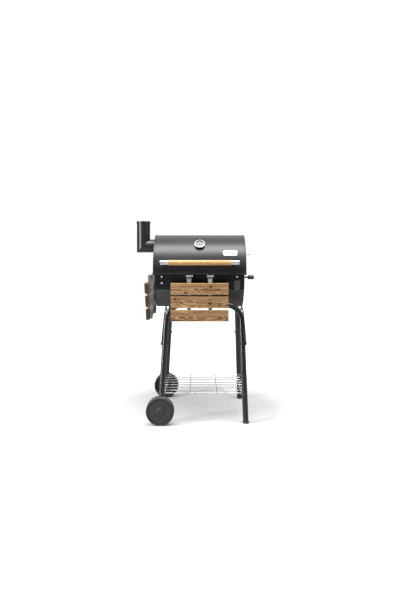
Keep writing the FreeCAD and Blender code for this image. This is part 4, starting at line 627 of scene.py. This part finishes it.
def add_rivets():
    """Two rivets on each of the lid's and the barrel's hinge leaves."""
    pattern = rivet_shape()
    pins_x = middle("lid_hinge_pins").x
    leaf_top = 2.85 * MM
    rows = (("lid", LID_R + leaf_top, 180 - 5.0), ("frame", BODY_R + leaf_top, 180 + 10.2))
    for body, radius, angle in rows:
        for index, hinge in enumerate((pins_x - 150 * MM, pins_x + 150 * MM)):
            for side, shift in enumerate((-12 * MM, 12 * MM)):
                spot, outward = on_shell(radius, angle, hinge + shift)
                name = "%s_hinge_rivet_%d_%d" % (body, index, side)
                twin = copy_of(pattern, name, facing(outward, spot))
                finish_piece(twin, ZINC, body)
    bpy.data.objects.remove(pattern)


def add_bezel():
    """A polished rim that holds the thermometer's lens."""
    profile = in_mm([(28.5, -1.6), (28.9, -1.3), (29.0, -0.4), (28.6, 0.5), (27.5, 0.8),
                     (26.5, 0.4), (26.2, -0.4), (27.2, -0.2), (28.45, -0.3)])
    piece = lathe("thermometer_bezel", profile, 72)
    pivot = Vector(JOINTS["thermometer_reading"]["pos_m"])
    settle(piece, facing(DIAL_AXIS, pivot + DIAL_AXIS * 14.3 * MM))
    finish_piece(piece, BEZEL_STEEL, "lid", 50)


def add_chimney_seam():
    """The rippled weld round the chimney's mitre: a ring sheared to the mitre's slope."""
    bead_r = CHIMNEY_R + 0.1 * MM
    clear_selection()
    bpy.ops.mesh.primitive_torus_add(major_segments=140, minor_segments=8, major_radius=bead_r,
                                     minor_radius=1.0 * MM)
    piece = start("chimney_weld")
    for vertex in piece.data.vertices:
        around = math.atan2(vertex.co.y, vertex.co.x)
        ripple = 1 + 0.35 * math.sin(around * 46) * math.cos(around * 3)
        ring = Vector((math.cos(around), math.sin(around), 0)) * bead_r
        vertex.co = ring + (vertex.co - ring) * ripple
        vertex.co.z += vertex.co.x
    pipe_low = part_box("chimney_pipe")[0]
    settle(piece, Matrix.Translation((pipe_low.x + CHIMNEY_R, 0, pipe_low.z + CHIMNEY_R)))
    finish_piece(piece, CHIMNEY_PAINT, "lid", 60)


def add_hems():
    """The folded hems along the lid's two long edges."""
    length = LID_HIGH.x - LID_LOW.x - 18 * MM
    edge = math.sqrt(LID_R ** 2 - (AXIS_Z - LID_LOW.z) ** 2)
    for side, sign in (("front", -1), ("rear", 1)):
        clear_selection()
        bpy.ops.mesh.primitive_cube_add(size=1)
        piece = start("lid_hem_" + side)
        stretch(piece, (length, 2.6 * MM, 7.5 * MM))
        bpy.ops.object.mode_set(mode="EDIT")
        select_whole_mesh()
        bpy.ops.mesh.subdivide(number_cuts=2)
        bpy.ops.object.mode_set(mode="OBJECT")
        apply_modifier(piece, "BEVEL", width=1.1 * MM, segments=3)
        y = sign * (edge + 0.4 * MM)
        settle(piece, Matrix.Translation((BARREL_X, y, LID_LOW.z + 4.0 * MM)))
        finish_piece(piece, LID_PAINT, "lid")


def add_ferrule_caps():
    """Domed ends and thin collars on the handle's ferrules."""
    low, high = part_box("handle_ferrules")
    grip_low, grip_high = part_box("handle_grip")
    y, z = (low.y + high.y) / 2, (low.z + high.z) / 2
    radius = (high.z - low.z) / 2
    dome = [(0, 1.9 * MM), (radius * 0.45, 1.7 * MM), (radius * 0.8, 1.1 * MM),
            (radius * 0.96, 0.3 * MM), (radius * 0.96, -0.4 * MM), (0, -0.4 * MM)]
    collar = [(radius - 0.2 * MM, -1.4 * MM), (radius + 0.7 * MM, -1.2 * MM),
              (radius + 0.9 * MM, 0), (radius + 0.7 * MM, 1.2 * MM), (radius - 0.2 * MM, 1.4 * MM)]
    ends = (("left", low.x, grip_low.x, -1), ("right", high.x, grip_high.x, 1))
    for side, end, joint, way in ends:
        cap = lathe("ferrule_cap_" + side, dome, 40)
        settle(cap, facing((way, 0, 0), Vector((end, y, z))))
        finish_piece(cap, CHROME, "lid", 40)
        band = lathe("ferrule_collar_" + side, collar, 48)
        settle(band, facing((way, 0, 0), Vector((joint + way * 3 * MM, y, z))))
        finish_piece(band, CHROME, "lid", 50)


def add_badge_rim():
    """A raised rim round the blank badge, curved with the lid."""
    badge_x, badge_angle = middle("badge_plate").x, 30.5
    plate_face = LID_R + 1.3 * MM
    clear_selection()
    bpy.ops.mesh.primitive_plane_add(size=1)
    piece = start("badge_rim")
    stretch(piece, (77 * MM, 33 * MM, 1))
    bpy.ops.object.mode_set(mode="EDIT")
    select_whole_mesh()
    bpy.ops.mesh.bevel(offset=8.5 * MM, segments=8, affect="VERTICES")
    select_whole_mesh()
    bpy.ops.mesh.inset(thickness=2.0 * MM)
    bpy.ops.mesh.delete(type="FACE")
    select_whole_mesh()
    push_out(0, 0, 0.9 * MM)
    point_faces_outwards()
    bpy.ops.object.mode_set(mode="OBJECT")
    apply_modifier(piece, "BEVEL", width=0.25 * MM, segments=2)
    for vertex in piece.data.vertices:
        angle = badge_angle + math.degrees(vertex.co.y / LID_R)
        vertex.co = on_shell(plate_face + vertex.co.z, angle, badge_x + vertex.co.x)[0]
    finish_piece(piece, BEZEL_STEEL, "lid")


def add_hub_rings():
    """A raised ring round each axle head, and a bead round each wheel's face."""
    ring = in_mm([(11.5, -3.0), (11.8, -0.6), (13.0, 0), (15.0, -0.1), (17.2, -1.2), (18.6, -3.2),
                  (17.0, -4.6), (12.0, -4.6)])
    bead = in_mm([(57.0, -2.2), (57.6, -0.5), (58.8, 0), (60.0, -0.5), (60.6, -2.2), (58.8, -3.0)])
    for body, way in (("front_wheel", -1), ("rear_wheel", 1)):
        low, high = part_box(body)
        centre = middle(body)
        face = low.y if way < 0 else high.y
        hub = lathe("%s_hub_ring" % body, ring, 56)
        settle(hub, facing((0, way, 0), Vector((centre.x, face - way * 0.5 * MM, centre.z))))
        finish_piece(hub, HUB_PLASTIC, body, 40)
        band = lathe("%s_face_ring" % body, bead, 96)
        settle(band, facing((0, way, 0), Vector((centre.x, face - way * 2.5 * MM, centre.z))))
        finish_piece(band, HUB_PLASTIC, body, 40)


def add_knob_ends():
    """A domed end and a stepped collar on each lift knob."""
    low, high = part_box("lift_knobs")
    knobs = middle("lift_knobs")
    radius = (high.z - low.z) / 2
    dome = [(0, -0.1 * MM), (radius * 0.5, -0.2 * MM), (radius * 0.85, -0.8 * MM),
            (radius * 1.04, -2.6 * MM), (radius * 1.06, -4.6 * MM), (radius * 0.98, -5.6 * MM),
            (0, -5.6 * MM)]
    collar = [(radius * 0.62, 5.5 * MM), (radius * 0.7, 5.3 * MM), (radius * 0.80, 2.5 * MM),
              (radius * 1.05, 0.6 * MM), (radius * 1.06, -3.0 * MM), (radius * 0.97, -3.8 * MM),
              (0, -3.8 * MM), (0, 5.5 * MM)]
    for side, way, end, length in (("left", -1, low.x, 14 * MM), ("right", 1, high.x, 30 * MM)):
        spot = Vector((end, knobs.y, knobs.z))
        cap = lathe("lift_knob_dome_" + side, dome, 48)
        settle(cap, facing((way, 0, 0), spot))
        finish_piece(cap, KNOB_PLASTIC, "charcoal_lift", 40)
        ring = lathe("lift_knob_collar_" + side, collar, 48)
        settle(ring, facing((-way, 0, 0), spot - Vector((way, 0, 0)) * (length - 1 * MM)))
        finish_piece(ring, KNOB_PLASTIC, "charcoal_lift", 40)


def add_damper_tab():
    """The folded finger tab at the foot of the air damper."""
    axis = Vector(JOINTS["air_damper_swing"]["axis"])
    pivot = Vector(JOINTS["air_damper_swing"]["pos_m"])
    clear_selection()
    bpy.ops.mesh.primitive_cube_add(size=1)
    piece = start("air_damper_tab")
    stretch(piece, (13 * MM, 1.4 * MM, 5.5 * MM))
    pick_faces(piece, lambda centre, normal: normal.z > 0.9)
    push_out(0, 1.2 * MM, 3.0 * MM)
    bpy.ops.transform.resize(value=(0.8, 1, 1))
    bpy.ops.object.mode_set(mode="OBJECT")
    apply_modifier(piece, "BEVEL", width=0.35 * MM, segments=2)
    down = Vector((0, axis.z, -axis.y))
    down = down if down.z < 0 else -down
    side = down.cross(axis)
    spot = pivot + axis * 4.3 * MM + down * 33 * MM
    settle(piece, Matrix.Translation(spot) @ turned_to(side, down, axis))
    finish_piece(piece, DAMPER_PAINT, "air_damper")


def add_saddle_welds():
    """Weld fillets where the saddles meet the frames' top bars."""
    clear_selection()
    bpy.ops.mesh.primitive_torus_add(major_segments=48, minor_segments=8,
                                     major_radius=TUBE_R + 0.4 * MM, minor_radius=1.3 * MM)
    bead = start("saddle_weld")
    bpy.ops.object.mode_set(mode="EDIT")
    select_whole_mesh()
    bpy.ops.mesh.bisect(plane_co=(0, 5 * MM, 0), plane_no=(0, 1, 0), clear_inner=True,
                        use_fill=True)
    bpy.ops.object.mode_set(mode="OBJECT")

    low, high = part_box("frame_saddles")
    saddle_reach = (high.x - low.x) / 2 - 17 * MM
    bar_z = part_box("front_leg_frame")[1].z - TUBE_R
    along, lean = Vector((1, 0, 0)), math.radians(44.35)
    for end, sign in (("front", -1), ("rear", 1)):
        frame_low, frame_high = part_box(end + "_leg_frame")
        bar_y = frame_high.y - TUBE_R if sign < 0 else frame_low.y + TUBE_R
        toward = Vector((0, -sign * math.cos(lean), math.sin(lean)))
        turn = turned_to(toward.cross(along), toward, along)
        for side, way in (("left", -1), ("right", 1)):
            saddle_x = middle("frame_saddles").x + way * saddle_reach
            for index, edge in enumerate((-17.5 * MM, 17.5 * MM)):
                twin = copy_of(bead, "saddle_weld_%s_%s_%d" % (end, side, index),
                               Matrix.Translation((saddle_x + edge, bar_y, bar_z)) @ turn)
                finish_piece(twin, TUBE_PAINT, "frame", 60)
    bpy.data.objects.remove(bead)


add_rivets()
add_bezel()
add_chimney_seam()
add_hems()
add_ferrule_caps()
add_badge_rim()
add_hub_rings()
add_knob_ends()
add_damper_tab()
add_saddle_welds()


# ---- studio and camera -------------------------------------------------------------------

def paper_floor():
    """A pale sweep that the smoker stands on, glowing brighter the further it lies from the
    smoker: painted light.
    """
    clear_selection()
    bpy.ops.mesh.primitive_plane_add(size=16, location=(0, 0, 0))
    floor = bpy.context.object
    floor.name = "floor"
    f = Finish("floor_paper")
    x, y, z = f.axes()
    # The paper glows from nothing at 0.45 m from the middle to full glow at 1.1 m: painted light
    # that washes out shading and shadows on the far floor.
    far = f.span(f.distance(x, y), 0.45, 1.1)
    f.shade(Base_Color=(0.49, 0.49, 0.49), Roughness=0.9, Specular_IOR_Level=0.1,
            Emission_Color=f.blend(far, (0, 0, 0), (1, 1, 1)), Emission_Strength=0.9)
    # Reflections and bounced light see a darker paper than the eye does.
    seen = Value(f, f.shader.outputs["BSDF"])
    dull = f.node("ShaderNodeBsdfDiffuse", Color=(0.36, 0.36, 0.36))
    by_eye = f.node("ShaderNodeLightPath", output="Is Camera Ray")
    paper = f.node("ShaderNodeMixShader", i0=by_eye, i1=dull, i2=seen)
    f.tree.links.new(paper.socket, f.tree.nodes["Material Output"].inputs["Surface"])
    floor.data.materials.append(f.material)


def soft_box(name, spot, target, size, power):
    """A rectangular lamp that lights the smoker but isn't seen itself."""
    data = bpy.data.lights.new(name, "AREA")
    data.shape = "RECTANGLE"
    data.size, data.size_y = size
    data.energy = power
    lamp = bpy.data.objects.new(name, data)
    lamp.visible_camera = False
    bpy.context.collection.objects.link(lamp)
    lamp.location = spot
    lamp.rotation_euler = (Vector(target) - Vector(spot)).to_track_quat("-Z", "Y").to_euler()


def studio_air():
    """White all round for the eye; a little darker at eye level for the reflections."""
    world = bpy.data.worlds.new("studio")
    bpy.context.scene.world = world
    world.use_nodes = True
    tree = world.node_tree
    tree.nodes.clear()
    out = tree.nodes.new("ShaderNodeOutputWorld")
    seen = tree.nodes.new("ShaderNodeBackground")
    seen.inputs["Color"].default_value = (1, 1, 1, 1)
    seen.inputs["Strength"].default_value = 1.0
    lit = tree.nodes.new("ShaderNodeBackground")
    lit.inputs["Strength"].default_value = 1.35
    place = tree.nodes.new("ShaderNodeTexCoord")
    split = tree.nodes.new("ShaderNodeSeparateXYZ")
    ramp = tree.nodes.new("ShaderNodeValToRGB")
    ramp.color_ramp.elements[0].position = 0.20
    ramp.color_ramp.elements[0].color = (0.03, 0.03, 0.03, 1)
    ramp.color_ramp.elements[1].position = 0.52
    ramp.color_ramp.elements[1].color = (1, 1, 1, 1)
    path = tree.nodes.new("ShaderNodeLightPath")
    mix = tree.nodes.new("ShaderNodeMixShader")
    tree.links.new(place.outputs["Generated"], split.inputs["Vector"])
    tree.links.new(split.outputs["Z"], ramp.inputs["Fac"])
    tree.links.new(ramp.outputs["Color"], lit.inputs["Color"])
    tree.links.new(path.outputs["Is Camera Ray"], mix.inputs["Fac"])
    tree.links.new(lit.outputs["Background"], mix.inputs[1])
    tree.links.new(seen.outputs["Background"], mix.inputs[2])
    tree.links.new(mix.outputs["Shader"], out.inputs["Surface"])


def stand_camera():
    """A level camera at the lid's height, with its film shifted down to take in the wheels."""
    data = bpy.data.cameras.new("camera")
    data.sensor_fit = "VERTICAL"
    data.sensor_height = 36
    data.lens = 32.10649
    data.shift_y = -0.090183
    camera = bpy.data.objects.new("camera", data)
    bpy.context.collection.objects.link(camera)
    camera.location = (0.031, -3.123, 0.951)
    camera.rotation_euler = (math.radians(90), 0, 0)
    bpy.context.scene.camera = camera


paper_floor()
soft_box("top_box", (0.03, -0.45, 2.1), (0.03, -0.10, 0.95), (1.9, 0.62), 52)
soft_box("left_box", (-1.9, -1.05, 0.95), (0, 0, 0.75), (0.36, 1.9), 62)
soft_box("right_box", (2.2, -0.5, 1.0), (0, 0, 0.7), (0.25, 1.8), 6)
bpy.context.scene.view_settings.view_transform = "Standard"
studio_air()
stand_camera()
